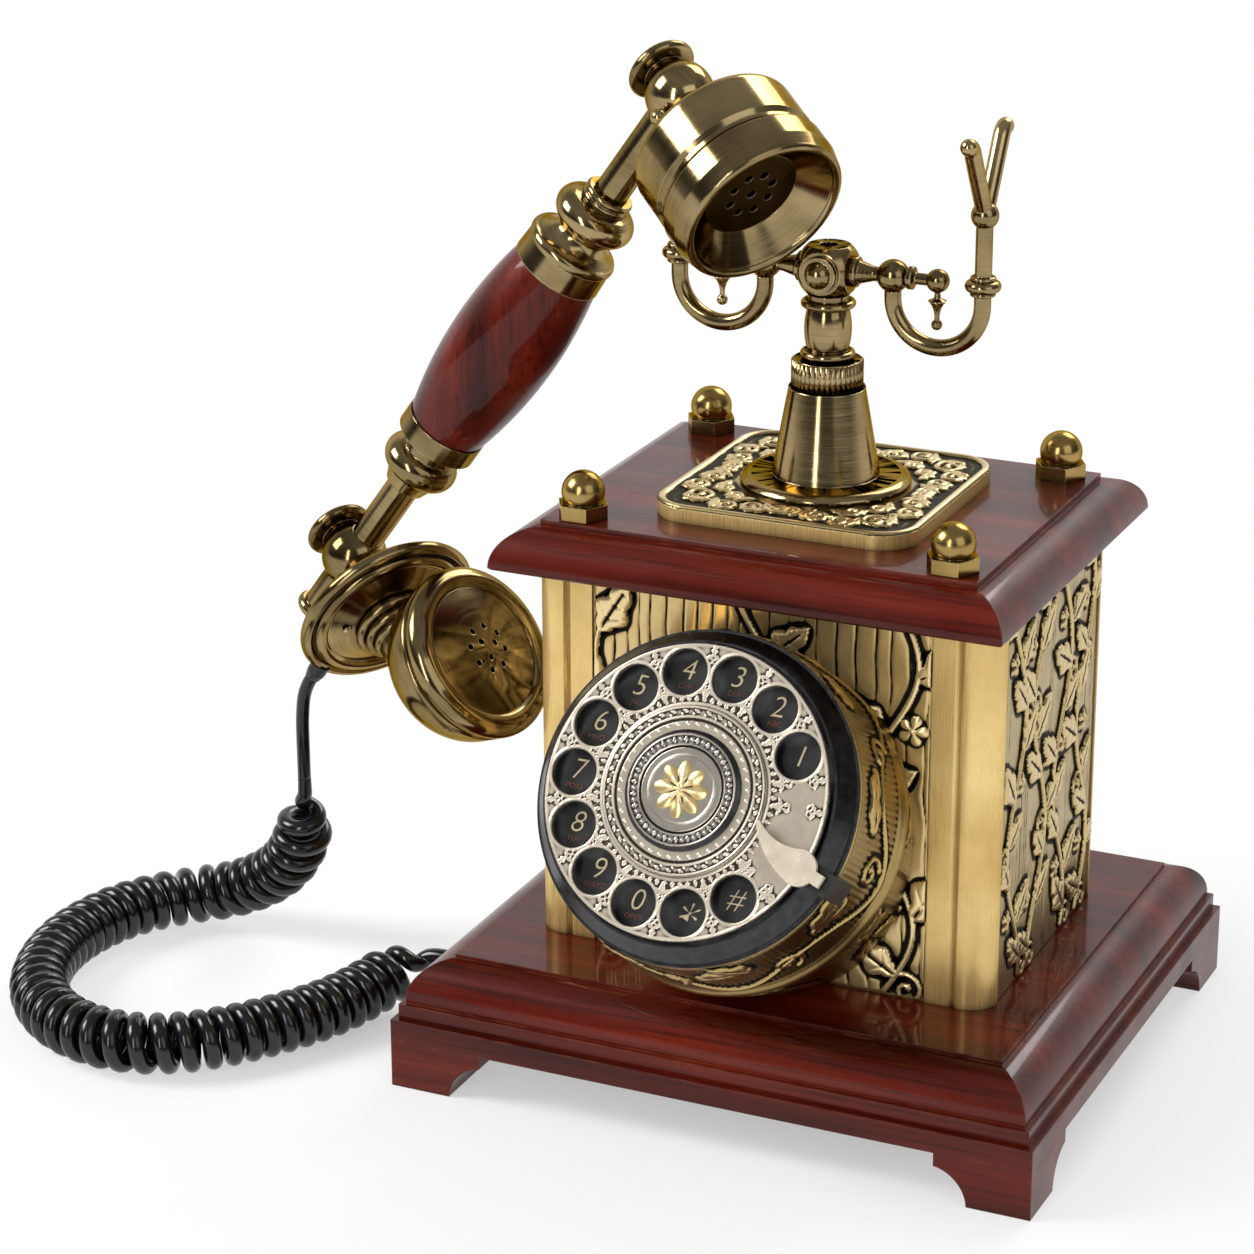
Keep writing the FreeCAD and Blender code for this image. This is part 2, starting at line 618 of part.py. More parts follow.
screw_x = S.base_width / 2 - S.cover_margin - S.screw_head
screw_places = [at(ORIGIN, screw_x * sx, S.screw_spacing / 2 * sy, S.foot_height)
                for sx in SIDES for sy in SIDES]
SCREW_BORE = S.screw_radius + S.rod_clearance
frame_block = centred_box("frame_block", S.base_width, S.base_depth, S.frame_height, z=S.foot_height)
frame_gap = centred_box("frame_gap", S.base_width - 2 * S.frame_rail, S.base_depth - 2 * S.frame_rail,
                        S.frame_height, z=S.foot_height)
frame_bores = [cylinder(f"frame_bore_{i}", SCREW_BORE, S.screw_length, place)
               for i, place in enumerate(screw_places)]
keep(cut("frame", frame_block, frame_gap, jack_space("rail_left", JACK_LEFT),
         jack_space("rail_back", JACK_BACK), *frame_bores), "base_frame")

board_side = [(S.board_inset, frame_top), (S.board_inset, moulding_foot),
              (S.board_inset + S.board_ledge, moulding_foot),
              (S.board_inset + S.board_ledge + S.board_slope * 0.27, moulding_foot + S.board_round * 0.71,
               S.board_inset + S.board_ledge + S.board_slope, moulding_top),
              (S.board_inset + S.board_ledge + S.board_slope, board_top)]
board_bores = [cylinder(f"board_bore_{sx}{sy}", BORE, board_top - frame_top, place)
               for sx, sy, place in rod_places(frame_top)]
board_block = moulded_board("board_block", S.base_width, S.base_depth, board_side)
keep(cut("board", board_block, *board_bores), "base_board")

cover_z = S.foot_height - S.cover_thickness
cover_block = centred_box("cover_block", S.base_width - 2 * S.cover_margin,
                          S.base_depth - 2 * (S.foot_top + S.cover_gap), S.cover_thickness, z=cover_z)
cover_bores = [cylinder(f"cover_bore_{i}", SCREW_BORE, S.cover_thickness, at(place, z=-S.cover_thickness))
               for i, place in enumerate(screw_places)]
keep(cut("cover", cover_block, *cover_bores), "bottom_cover")


def cover_screw(name, place):
    shank = cylinder(name + "_shank", S.screw_radius, S.cover_thickness + S.screw_length - S.rod_clearance,
                     at(place, z=-S.cover_thickness))
    head = cylinder(name + "_head", S.screw_head, S.screw_head_height,
                    at(place, z=-S.cover_thickness - S.screw_head_height))
    return fuse(name, shank, head)


screws = [cover_screw(f"screw_{i}", place) for i, place in enumerate(screw_places)]
keep(group("screw_group", screws), "cover_screws")


# Cabinet
def post(name, sx, sy):
    """A corner post: rounded outer corner, a groove and a flat strip beside it."""
    edge_x, edge_y = S.body_width / 2, S.body_depth / 2
    flat = S.post_round
    outline = [(S.post_width, S.post_depth), (S.post_width, 0.0), (flat + S.post_groove * 2, 0.0),
               (flat + S.post_groove, S.post_groove), (flat, 0.0),
               (flat * 0.26, S.post_depth * 0.3, 0.0, S.post_depth)]
    points = []
    for corner in outline:
        pairs = zip(corner[::2], corner[1::2])
        points.append(tuple(value for u, v in pairs for value in ((edge_x - u) * sx, (edge_y - v) * sy)))
    block = padded(name + "_block", points, S.body_height, at(ORIGIN, z=board_top))
    bore = cylinder(name + "_bore", BORE, S.body_height,
                    at(ORIGIN, S.rod_spacing_x / 2 * sx, S.rod_spacing_y / 2 * sy, board_top))
    return cut(name, block, bore)


posts = [post(f"post_{sx + 1}{sy + 1}", sx, sy) for sx in SIDES for sy in SIDES]
keep(group("post_group", posts), "corner_posts")

DIAL = at(ORIGIN, 0.0, -(S.body_depth / 2 + S.dial_reach), board_top + S.dial_rise,
          Rotation(Vector(1, 0, 0), 90 - float(S.dial_tilt)))
panel_face_y = S.body_depth / 2 - S.panel_recess
panel_face_x = S.body_width / 2 - S.panel_recess
panel_width = S.body_width - 2 * S.post_width
side_depth = S.body_depth - 2 * S.post_depth
front_block = centred_box("front_block", panel_width, S.panel_thickness, S.body_height,
                          y=-panel_face_y + S.panel_thickness / 2, z=board_top)
front_mouth = cylinder("front_mouth", S.panel_mouth, S.drum_length + S.body_depth,
                       at(DIAL, z=-S.drum_length - S.body_depth / 2))
keep(cut("front", front_block, front_mouth), "front_panel")
keep(centred_box("back", panel_width, S.panel_thickness, S.body_height,
                 y=panel_face_y - S.panel_thickness / 2, z=board_top), "back_panel")
for side_name, sx in (("left", -1), ("right", 1)):
    keep(centred_box(side_name, S.panel_thickness, side_depth, S.body_height,
                     x=(panel_face_x - S.panel_thickness / 2) * sx, z=board_top), f"{side_name}_panel")

# Top cap, tie rods and nuts
cap_side = [(S.cap_edge, body_top), (0.0, body_top + S.cap_edge),
            (S.cap_slope * 0.28, body_top + S.cap_round * 0.73, S.cap_slope, cap_shoulder),
            (S.cap_slope, cap_top)]
cap_bores = [cylinder(f"cap_bore_{sx}{sy}", BORE, cap_top - body_top, place)
             for sx, sy, place in rod_places(body_top)]
plunger_bore = cylinder("cap_plunger_bore", S.plunger_radius + S.plunger_clearance, cap_top - body_top,
                        at(ORIGIN, z=body_top))
cap_block = moulded_board("cap_block", S.cap_width, S.cap_depth, cap_side)
keep(cut("cap", cap_block, plunger_bore, *cap_bores), "top_cap")

rod_foot = frame_top - S.rod_nut_height
rod_end = cap_top + S.nut_height
keep(group("rod_group", [cylinder(f"rod_{sx}{sy}", S.rod_radius, rod_end - rod_foot, place)
                         for sx, sy, place in rod_places(rod_foot)]), "tie_rods")
rod_nuts = [cut(f"rod_nut_{sx}{sy}", hexagon(f"rod_hex_{sx}{sy}", S.rod_nut_radius, S.rod_nut_height, place),
                cylinder(f"rod_nut_bore_{sx}{sy}", BORE, S.rod_nut_height, place))
            for sx, sy, place in rod_places(rod_foot)]
keep(group("rod_nut_group", rod_nuts), "rod_nuts")


def acorn(name, place):
    outside = fuse(name + "_outside", hexagon(name + "_hex", S.nut_radius, S.nut_height, place),
                   ball(name + "_dome", S.dome_radius, at(place, z=S.dome_rise)))
    return cut(name, outside, cylinder(name + "_bore", BORE, S.nut_height + S.rod_clearance, place))


acorns = [acorn(f"acorn_{sx}{sy}", place) for sx, sy, place in rod_places(cap_top)]
keep(group("acorn_group", acorns), "acorn_nuts")

# Cradle stand
plate_top = cap_top + S.plate_thickness
flange_top = plate_top + S.flange_height
cone_end = flange_top + S.cone_height
collar_end = cone_end + S.collar_height
SLIDE = S.column_foot + S.slide_clearance
half = S.plate_side / 2
corner = S.plate_corner
bulge = corner * (1 - math.sqrt(0.5))
plate_outline = []
for sx, sy in ((1, 1), (-1, 1), (-1, -1), (1, -1)):
    into, out = (half * sx, (half - corner) * sy), ((half - corner) * sx, half * sy)
    if sx * sy < 0:
        into, out = out, into
    plate_outline += [into, ((half - bulge) * sx, (half - bulge) * sy, *out)]
keep(padded("plate", plate_outline, S.plate_thickness, at(ORIGIN, z=cap_top),
            holes=[(0.0, 0.0, SLIDE)]), "cradle_plate")

cone_outline = [(SLIDE, plate_top), (S.flange_radius, plate_top),
                (S.flange_radius, plate_top + S.flange_height * 0.5),
                (S.flange_radius - S.flange_height * 0.3, flange_top - S.flange_height * 0.15,
                 S.flange_radius - S.flange_height, flange_top),
                (S.cone_bottom, flange_top), (S.cone_top, cone_end), (SLIDE, cone_end)]
keep(turned("cone", cone_outline), "cradle_cone")
keep(turned("collar", [(SLIDE, cone_end), (S.collar_radius, cone_end), (S.collar_radius, collar_end),
                       (SLIDE, collar_end)]), "knurled_collar")

# Sliding cradle: column, hub, arms, hooks with forks, hanging finials
hub_bottom = S.hub_height - S.hub_size / 2
column_foot_z = plate_top
ring_low = collar_end + S.ring_clearance
ring_high = ring_low + S.column_ring_height
upper_ring_low = hub_bottom - S.column_gap - S.column_ring_height


def rounded_ring(radius, low, height):
    """Two outline entries of a ring with a half round edge."""
    return [(radius - height / 2, low), (radius, low + height / 2, radius - height / 2, low + height)]


column_outline = [(0.0, column_foot_z), (S.column_foot, column_foot_z), (S.column_foot, ring_low),
                  *rounded_ring(S.column_ring, ring_low, S.column_ring_height), (S.column_neck, ring_high),
                  (S.column_belly, (ring_high + upper_ring_low) / 2, S.column_neck, upper_ring_low),
                  *rounded_ring(S.column_ring, upper_ring_low, S.column_ring_height),
                  (S.column_neck, upper_ring_low + S.column_ring_height), (S.column_neck, hub_bottom),
                  (0.0, hub_bottom)]
keep(turned("column", column_outline), "cradle_column")

HUB = at(ORIGIN, z=S.hub_height)
FRONT = Rotation(Vector(1, 0, 0), 90)
SIDEWAYS = Rotation(Vector(0, 1, 0), 90)
hub_block = common("hub_block", centred_box("hub_box", S.hub_size, S.hub_size, S.hub_size, z=hub_bottom),
                   ball("hub_round", S.hub_ball, HUB))
bosses = [cylinder(f"hub_boss_{i}", S.boss_radius, S.hub_size / 2 + S.boss_height,
                   Placement(HUB.Base, Rotation(Vector(1, 0, 0), angle)))
          for i, angle in enumerate((90, -90))]
domes = [ball(f"hub_dome_{i}", S.boss_radius * 0.78, at(HUB, y=(S.hub_size / 2 + S.boss_height * 0.5) * sy))
         for i, sy in enumerate(SIDES)]
hub_hole = cylinder("hub_hole", S.hub_hole, S.hub_size / 4, at(HUB, z=S.hub_size / 4))
keep(cut("hub", fuse("hub_solid", hub_block, *bosses, *domes), hub_hole), "cradle_hub")


def ball_corners(radius, centre, start, end):
    """Two outline entries round a ball of the arm, from the start radius to the end radius."""
    low = centre - math.sqrt(float(radius) ** 2 - float(start) ** 2)
    high = centre + math.sqrt(float(radius) ** 2 - float(end) ** 2)
    return [(start, low), (radius, centre, end, high)]


arm_start = S.hub_size / 2
arm_ring_x = S.arm_ball_x + S.arm_ball
arm_ring_end = arm_ring_x + S.arm_collar - S.arm_bevel / 2
arm_outline = [(0.0, arm_start), (S.arm_flange, arm_start), (S.arm_flange, arm_start + S.arm_collar),
               (S.arm_ring, arm_start + S.arm_collar + S.arm_bevel),
               (S.arm_thin, S.arm_ball_x - S.arm_ball - S.arm_bevel),
               *ball_corners(S.arm_ball, S.arm_ball_x, S.arm_thin, S.arm_thin),
               (S.arm_ring, arm_ring_x), (S.arm_ring, arm_ring_end),
               (S.arm_thin * 0.8, arm_ring_end + S.arm_bevel),
               *ball_corners(S.arm_tip, S.arm_tip_x, S.arm_thin * 0.8, S.arm_thin * 0.2),
               (0.0, S.arm_tip_x + S.arm_tip)]
arms = [turned(f"arm_{sx + 1}", arm_outline, Placement(HUB.Base, Rotation(Vector(0, 1, 0), 90 * sx)))
        for sx in SIDES]
keep(group("arm_group", arms), "cradle_arms")

drop_top = S.hub_height - S.arm_tip
drop_end = drop_top - S.drop_length
dish_z = drop_top - S.drop_dish
waist_z = drop_end + S.drop_ball + math.sqrt(float(S.drop_ball) ** 2 - float(S.drop_waist) ** 2)
drop_outline = [(0.0, drop_end), (S.drop_ball, drop_end + S.drop_ball, S.drop_waist, waist_z),
                (S.drop_waist * 1.3, (waist_z + dish_z) / 2, S.drop_cone, dish_z),
                (S.drop_waist * 1.3, dish_z + S.drop_waist), (S.drop_waist, drop_top), (0.0, drop_top)]
drops = [turned(f"drop_{sx + 1}", drop_outline, at(ORIGIN, S.arm_tip_x * sx)) for sx in SIDES]
keep(group("drop_group", drops), "cradle_drops")

hook_bend = (S.fork_x - S.arm_ball_x) / 2
hook_top = S.hub_height - math.sqrt(float(S.arm_ball) ** 2 - float(S.hook_radius) ** 2) - 0.05
hook_z = hook_top - S.hook_drop
fork_z = S.hub_height + S.fork_rise
collar_low = S.hub_height - S.fork_collar_height / 2 - S.fork_bead_height
collar_high = S.hub_height + S.fork_collar_height / 2
fork_ring = [(0.0, collar_low), *rounded_ring(S.fork_bead, collar_low, S.fork_bead_height),
             *rounded_ring(S.fork_collar, collar_low + S.fork_bead_height, S.fork_collar_height),
             *rounded_ring(S.fork_bead, collar_high, S.fork_bead_height),
             (0.0, collar_high + S.fork_bead_height)]


def rod_bend(name, bend_radius, angle, place):
    """A bent stretch of the hook's round rod."""
    bend = doc.addObject("Part::Torus", name)
    bind(bend, Radius1=bend_radius, Radius2=S.hook_radius)
    bend.Angle3 = float(angle)
    bend.Placement = place
    return bend


def prong(name, fork_frame, sy):
    """A leaning rod whose end is bent outward and rounded."""
    lean = at(fork_frame, turn=Rotation(Vector(1, 0, 0), -float(S.prong_lean) * sy))
    outward = Rotation(Vector(0, -sy, 0), Vector(0, 0, 1), Vector(-sy, 0, 0), "ZXY")
    turn = math.radians(float(S.prong_turn))
    tip = at(lean, y=S.prong_bend * (1 - math.cos(turn)) * sy,
             z=S.prong_length + S.prong_bend * math.sin(turn))
    return [cylinder(name + "_rod", S.hook_radius, S.prong_length, lean),
            rod_bend(name + "_bend", S.prong_bend, S.prong_turn,
                     at(lean, y=S.prong_bend * sy, z=S.prong_length, turn=outward)),
            ball(name + "_tip", S.hook_radius, tip)]


def fork(name, sx):
    """A hook bent from round rod with a ringed post that ends in a ball with two prongs."""
    post = at(ORIGIN, S.fork_x * sx)
    head = at(post, z=fork_z)
    below = at(ORIGIN, (S.arm_ball_x + hook_bend) * sx, z=hook_z, turn=Rotation(Vector(1, 0, 0), -90))
    parts = [rod_bend(name + "_bend", hook_bend, 180.0, below),
             cylinder(name + "_stem", S.hook_radius, S.hook_drop, at(ORIGIN, S.arm_ball_x * sx, z=hook_z)),
             cylinder(name + "_post", S.hook_radius, fork_z - hook_z, at(post, z=hook_z)),
             turned(name + "_ring", fork_ring, post), ball(name + "_head", S.fork_ball, head),
             *prong(name + "_front", head, -1), *prong(name + "_back", head, 1)]
    arm_end = ball(name + "_seat", S.arm_ball, at(HUB, S.arm_ball_x * sx))
    return cut(name, fuse(name + "_solid", *parts), arm_end)


keep(fork("left_fork", -1), "fork_left")
keep(fork("right_fork", 1), "fork_right")

# Hook switch: plunger, return spring, switch and lever
plunger_top = column_foot_z
clip_z = body_top - S.press_travel - S.spring_clip_height - 4.0
plunger_rod = cylinder("plunger_rod", S.plunger_radius, plunger_top - S.plunger_bottom,
                       at(ORIGIN, z=S.plunger_bottom))
plunger_clip = cylinder("plunger_clip", S.spring_clip, S.spring_clip_height, at(ORIGIN, z=clip_z))
keep(fuse("plunger_solid", plunger_rod, plunger_clip), "plunger")

# The return spring hangs from the cap and pulls the clip up; it is stretched while the handset is on
spring_low = clip_z + S.spring_clip_height + S.spring_wire / 2
spring_high = body_top - S.spring_wire / 2
spring_length = float(spring_high - spring_low)
spring_path = Part.makeHelix(spring_length / float(S.spring_turns), spring_length, float(S.spring_radius))
spring_start = Vector(float(S.spring_radius), 0, 0)
spring_face = Part.Wire(Part.makeCircle(float(S.spring_wire) / 2, spring_start, Vector(0, 1, 0)))
spring = solid("spring", Part.Wire(spring_path.Edges).makePipeShell([spring_face], True, True))
spring.Placement = at(ORIGIN, z=spring_low)
keep(spring, "plunger_spring")

lever_top = S.plunger_bottom - S.lever_gap
lever_axis = lever_top - S.lever_thickness / 2
switch_low = body_top - S.switch_height
ear_width = (S.switch_width - S.lever_width) / 2 - 0.5
switch_parts = [centred_box("switch_body", S.switch_length, S.switch_width, S.switch_height,
                            x=S.switch_x + S.switch_length / 2, z=switch_low)]
ear_drop = switch_low - lever_axis + 2 * S.lever_pin
for index, sy in enumerate(SIDES):
    ear_y = (S.switch_width - ear_width) / 2 * sy
    switch_parts.append(centred_box(f"switch_ear_{index}", 6 * S.lever_pin, ear_width, ear_drop,
                                    x=S.lever_pivot_x, y=ear_y, z=switch_low - ear_drop))
LEVER_PIN = at(ORIGIN, S.lever_pivot_x, z=lever_axis, turn=FRONT)
ear_bore = cylinder("switch_bore", S.lever_pin + S.pin_clearance, S.switch_width,
                    at(LEVER_PIN, z=-S.switch_width / 2))
keep(cut("switch", fuse("switch_solid", *switch_parts), ear_bore), "hook_switch")
lever_length = 2 * (S.lever_pivot_x + S.plunger_radius)
lever_bar = centred_box("lever_bar", lever_length, S.lever_width, S.lever_thickness,
                        x=S.lever_pivot_x, z=lever_axis - S.lever_thickness / 2)
lever_pin = cylinder("lever_pin", S.lever_pin, S.switch_width, at(LEVER_PIN, z=-S.switch_width / 2))
keep(fuse("lever", lever_bar, lever_pin), "hook_lever")

# Dial: drum, bezel, number plate, wheel, shaft, gears and finger stop
bead = S.drum_bead - S.drum_front
drum_outline = [(S.drum_front - S.drum_wall, -S.bezel_drop - S.number_thickness),
                (S.drum_front, -S.bezel_drop - S.number_thickness),
                (S.drum_front + bead * 0.25, -S.drum_bead_depth * 0.7,
                 S.drum_bead - bead * 0.35, -S.drum_bead_depth + bead),
                (S.drum_bead, -S.drum_bead_depth, S.drum_bead - bead * 0.35, -S.drum_bead_depth - bead),
                (S.drum_back, -S.drum_length), (S.drum_back - S.drum_wall, -S.drum_length),
                (S.drum_bead - bead - S.drum_wall, -S.drum_bead_depth - bead),
                (S.drum_front - S.drum_wall, -S.drum_bead_depth + bead)]
behind_panel = centred_box("drum_trim", S.base_width, S.base_depth, 2 * S.body_height,
                           y=-panel_face_y + S.base_depth / 2)
under_drum = centred_box("drum_floor", S.base_width, 2 * S.base_depth, board_top)
keep(cut("drum", turned("drum_shell", drum_outline, DIAL), behind_panel, under_drum), "dial_housing")

ledge = S.drum_front - S.drum_wall
lap = ledge - S.bezel_lap
bezel_outline = [(S.bezel_inner, -S.number_drop - S.number_thickness), (S.bezel_inner, -S.bezel_top),
                 (S.bezel_inner + S.bezel_edge, -S.bezel_top),
                 (S.bezel_radius, -S.bezel_drop + S.bezel_edge), (S.bezel_radius, -S.bezel_drop),
                 (S.drum_front, -S.bezel_drop), (S.drum_front, -S.bezel_drop - S.number_thickness),
                 (lap, -S.bezel_drop - S.number_thickness), (lap, -S.number_drop - S.number_thickness)]
keep(turned("bezel", bezel_outline, DIAL), "dial_bezel")

BUSH = S.shaft_radius + S.shaft_clearance
number_back = S.number_drop + S.number_thickness
keep(padded("numbers", lap - S.tube_clearance, S.number_thickness,
            at(DIAL, z=-number_back - S.number_thickness), holes=[(0.0, 0.0, BUSH)]), "number_plate")
number_floor = number_back + S.number_thickness
pillars = [cylinder(f"pillar_{i}", S.pillar_radius, S.mechanism_depth - number_floor,
                    at(DIAL.multiply(Placement(Vector(), Rotation(Vector(0, 0, 1), 45 + 90 * i))),
                       x=S.pillar_circle, z=-S.mechanism_depth)) for i in range(4)]
pulse_x = S.gear_radius + S.pulse_radius + S.tooth_clearance
mechanism = padded("mechanism_disc", S.mechanism_radius, S.mechanism_thickness,
                   at(DIAL, z=-S.mechanism_depth - S.mechanism_thickness),
                   holes=[(0.0, 0.0, BUSH), (pulse_x, 0.0, S.pulse_shaft + S.shaft_clearance)])
keep(fuse("mechanism", mechanism, *pillars), "mechanism_plate")

wheel_holes = [(0.0, 0.0, BUSH)]
for index in range(12):
    turn = math.radians(float(S.hole_first) + float(S.hole_step) * index)
    wheel_holes.append((S.hole_circle * math.cos(turn), S.hole_circle * math.sin(turn), S.hole_radius))
wheel_disc = padded("wheel_disc", S.wheel_radius, S.wheel_thickness, at(DIAL, z=-S.wheel_thickness),
                    holes=wheel_holes)
wheel_centre = padded("wheel_centre", S.hub_disc, S.hub_disc_height, DIAL, holes=[(0.0, 0.0, BUSH)])
keep(fuse("wheel", wheel_disc, wheel_centre), "finger_wheel")
keep(turned("badge", [(0.0, S.hub_disc_height), (S.badge_radius, S.hub_disc_height),
                      (S.badge_radius, S.hub_disc_height + S.badge_height * 0.5),
                      (S.badge_radius - S.badge_height * 0.7, S.hub_disc_height + S.badge_height),
                      (0.0, S.hub_disc_height + S.badge_height)], DIAL), "centre_cap")

shaft_end = S.gear_depth + S.gear_thickness
shaft_tail = -shaft_end - S.shaft_radius / 2
keep(turned("shaft", [(0.0, shaft_tail), (S.shaft_radius, shaft_tail), (S.shaft_radius, S.hub_disc_height),
                      (0.0, S.hub_disc_height)], DIAL), "dial_shaft")


# Half widths of a tooth as shares of the tooth spacing
TOOTH_ROOT, TOOTH_TIP = 0.3, 0.14


def gear(name, radius, bore, place, count, shift):
    """A toothed wheel whose first tooth stands on the X axis, or off it by a share of a tooth."""
    points = []
    tooth_top = S.tooth_height * 0.6
    for tooth in range(count):
        for share, reach in ((-TOOTH_ROOT, -S.tooth_height), (-TOOTH_TIP, tooth_top),
                             (TOOTH_TIP, tooth_top), (TOOTH_ROOT, -S.tooth_height)):
            turn = 2 * math.pi * (tooth + share + shift) / count
            points.append(((radius + reach) * math.cos(turn), (radius + reach) * math.sin(turn)))
    return padded(name, points, S.gear_thickness, place, holes=[(0.0, 0.0, bore)])


keep(gear("main_gear", S.gear_radius, BUSH, at(DIAL, z=-shaft_end), 30, 0.0), "dial_gear")
pulse_place = at(DIAL, x=pulse_x, z=-shaft_end)
pulse_disc = gear("pulse_disc", S.pulse_radius, S.pulse_shaft * 0.5, pulse_place, 12, 0.5)
pulse_pin = cylinder("pulse_pin", S.pulse_shaft, shaft_end - S.mechanism_depth, pulse_place)
keep(fuse("pulse", pulse_disc, pulse_pin), "pulse_gear")

STOP = DIAL.multiply(Placement(Vector(0, 0, 0), Rotation(Vector(0, 0, 1), float(S.stop_angle))))
stop_base = S.bezel_drop + S.number_thickness
stop_foot_x = S.drum_front + S.stop_foot / 3
bracket_top = S.stop_gap - S.stop_travel - S.stop_rest
stop_upright = centred_box("stop_upright", S.stop_foot / 3, S.stop_foot,
                           stop_base + bracket_top + S.stop_root, STOP,
                           x=stop_foot_x, z=-stop_base - S.stop_root)
shelf_end = stop_foot_x + S.stop_foot / 6
shelf_length = shelf_end - S.bezel_radius + 2 * S.stop_pin
stop_shelf = centred_box("stop_shelf", shelf_length, S.stop_foot, S.stop_shelf, STOP,
                         x=shelf_end - shelf_length / 2, z=bracket_top - S.stop_shelf)
pin_x = stop_foot_x - S.stop_foot / 6 - S.stop_pin_inset
stop_bore = cylinder("stop_bore", S.stop_pin + S.pin_clearance, 3 * S.stop_root,
                     at(STOP, x=pin_x, z=-1.5 * S.stop_root))
seat_length = stop_foot_x - S.drum_front + S.stop_shelf
stop_seat = centred_box("stop_seat", seat_length, S.stop_foot, S.stop_root, STOP,
                        x=stop_foot_x - seat_length / 2, z=-stop_base - S.stop_root)
bracket_parts = fuse("stop_bracket_parts", stop_upright, stop_shelf, stop_seat)
drum_side = cylinder("stop_drum_side", S.drum_front + S.stop_fit, S.stop_root,
                     at(DIAL, z=-stop_base - S.stop_root))
keep(cut("stop_bracket_solid", bracket_parts, stop_bore, drum_side), "stop_bracket")

pad_x, pad_side = S.stop_pad_circle - S.stop_pad * 0.3, S.stop_pad * math.sqrt(1 - 0.3 ** 2)
stop_outline = [(S.stop_reach, S.stop_tip_side), (S.stop_reach + S.stop_pad, -S.stop_belly, pad_x, -pad_side),
                (S.stop_pad_circle + S.stop_pad, 0.0, pad_x, pad_side),
                ((S.stop_reach + pad_x) / 2, S.stop_waist, S.stop_reach + 0.6, S.stop_tip_side + 0.9)]
stop_key = padded("stop_key", stop_outline, S.stop_thickness, at(STOP, z=S.stop_gap))
stop_link = box("stop_link", pin_x - S.stop_pad_circle + 1.5 * S.stop_pin, S.stop_width, S.stop_thickness,
                at(STOP, x=S.stop_pad_circle, y=-S.stop_width / 2, z=S.stop_gap))
stop_pin = cylinder("stop_pin", S.stop_pin, S.stop_gap + S.stop_thickness / 2 + S.stop_root,
                    at(STOP, x=pin_x, z=-S.stop_root))
keep(fuse("stop_lever", stop_key, stop_link, stop_pin), "finger_stop")

# Circuit board on pillars and the ringer sounder on it
board_z = board_top + S.board_lift
board_sheet = centred_box("board_sheet", S.board_length, S.board_width, S.board_sheet, z=board_z)
board_pillars = [cylinder(f"board_pillar_{sx}{sy}", S.pillar_radius, S.board_lift,
                          at(ORIGIN, (S.board_length / 2 - 5) * sx, (S.board_width / 2 - 5) * sy, board_top))
                 for sx in SIDES for sy in SIDES]
keep(fuse("board_solid", board_sheet, *board_pillars), "circuit_board")
keep(cylinder("sounder", S.sounder_radius, S.sounder_height,
              at(ORIGIN, S.board_length / 4, S.board_width / 8, board_z + S.board_sheet)), "ringer_sounder")

# Handset: X is the ear axis, Z runs from mouth to ear, the origin is the ear ball
seat_rise = float(S.joint_ball + S.hook_radius + S.seat_gap) / math.sin(math.radians(float(S.prong_lean)))
HANDSET = at(ORIGIN, -S.fork_x, z=fork_z + seat_rise,
             turn=Rotation(float(S.handset_yaw), float(S.handset_pitch), float(S.handset_roll)))
MOUTH = at(HANDSET, z=-S.handset_length)
EAR_AXIS = at(HANDSET, turn=SIDEWAYS)
MOUTH_AXIS = at(MOUTH, turn=SIDEWAYS)
TUBE_BORE = S.tube_radius + S.tube_clearance


def tube_bore(name, top, bottom):
    return cylinder(name, TUBE_BORE, bottom - top, at(HANDSET, z=-bottom))


def joint(name, frame, reach, tube_low, tube_high):
    """A joint ball with a flanged knob behind it and a neck in front, bored for the handset tube."""
    neck_z = math.sqrt(float(S.joint_ball) ** 2 - float(S.joint_neck) ** 2)
    rim, rim_radius = S.flange_back - S.joint_rim, S.joint_flange - S.joint_bevel
    outline = [(0.0, -S.flange_back), (S.joint_neck, -S.flange_back),
               (rim_radius, -S.flange_back + S.joint_bevel * 0.3),
               (S.joint_flange, -rim - S.joint_rim * 0.45, rim_radius, -rim),
               (S.joint_neck, -rim + S.joint_bevel * 0.3), (S.joint_neck, -neck_z),
               (S.joint_ball, 0.0, S.joint_neck, neck_z), (S.joint_neck, reach), (0.0, reach)]
    return cut(name, turned(name + "_turned", outline, frame), tube_bore(name + "_bore", tube_high, tube_low))


keep(joint("ear_ball", EAR_AXIS, S.ear_back, S.tube_start + 2 * S.joint_ball, S.tube_start), "ear_joint")
keep(joint("mouth_ball", MOUTH_AXIS, S.disc_back, S.handset_length + 2 * S.joint_ball,
           S.handset_length - 2 * S.joint_ball), "mouth_joint")
tube_outside = cylinder("tube_outside", S.tube_radius, S.tube_end - S.tube_start, at(HANDSET, z=-S.tube_end))
tube_inside = cylinder("tube_inside", S.tube_radius - S.tube_wall, S.tube_end - S.tube_start,
                       at(HANDSET, z=-S.tube_end))
tube = cut("tube", tube_outside, tube_inside)
flare_end = S.tube_end + S.flare_height
flare_lip = S.tube_flare - S.flare_height / 4
flare = turned("tube_flare", [(0.0, -flare_end), (flare_lip, -flare_end),
                              (S.tube_flare, -(S.tube_end + flare_end) / 2, flare_lip, -S.tube_end),
                              (0.0, -S.tube_end)], HANDSET)
keep(fuse("tube_solid", tube, flare), "handset_tube")


def bead_corners(radius, middle, inner):
    """Outline entries over a round bead between two necks, going down the handle."""
    return [(inner, -middle + S.bead_half), (radius, -middle, inner, -middle - S.bead_half)]


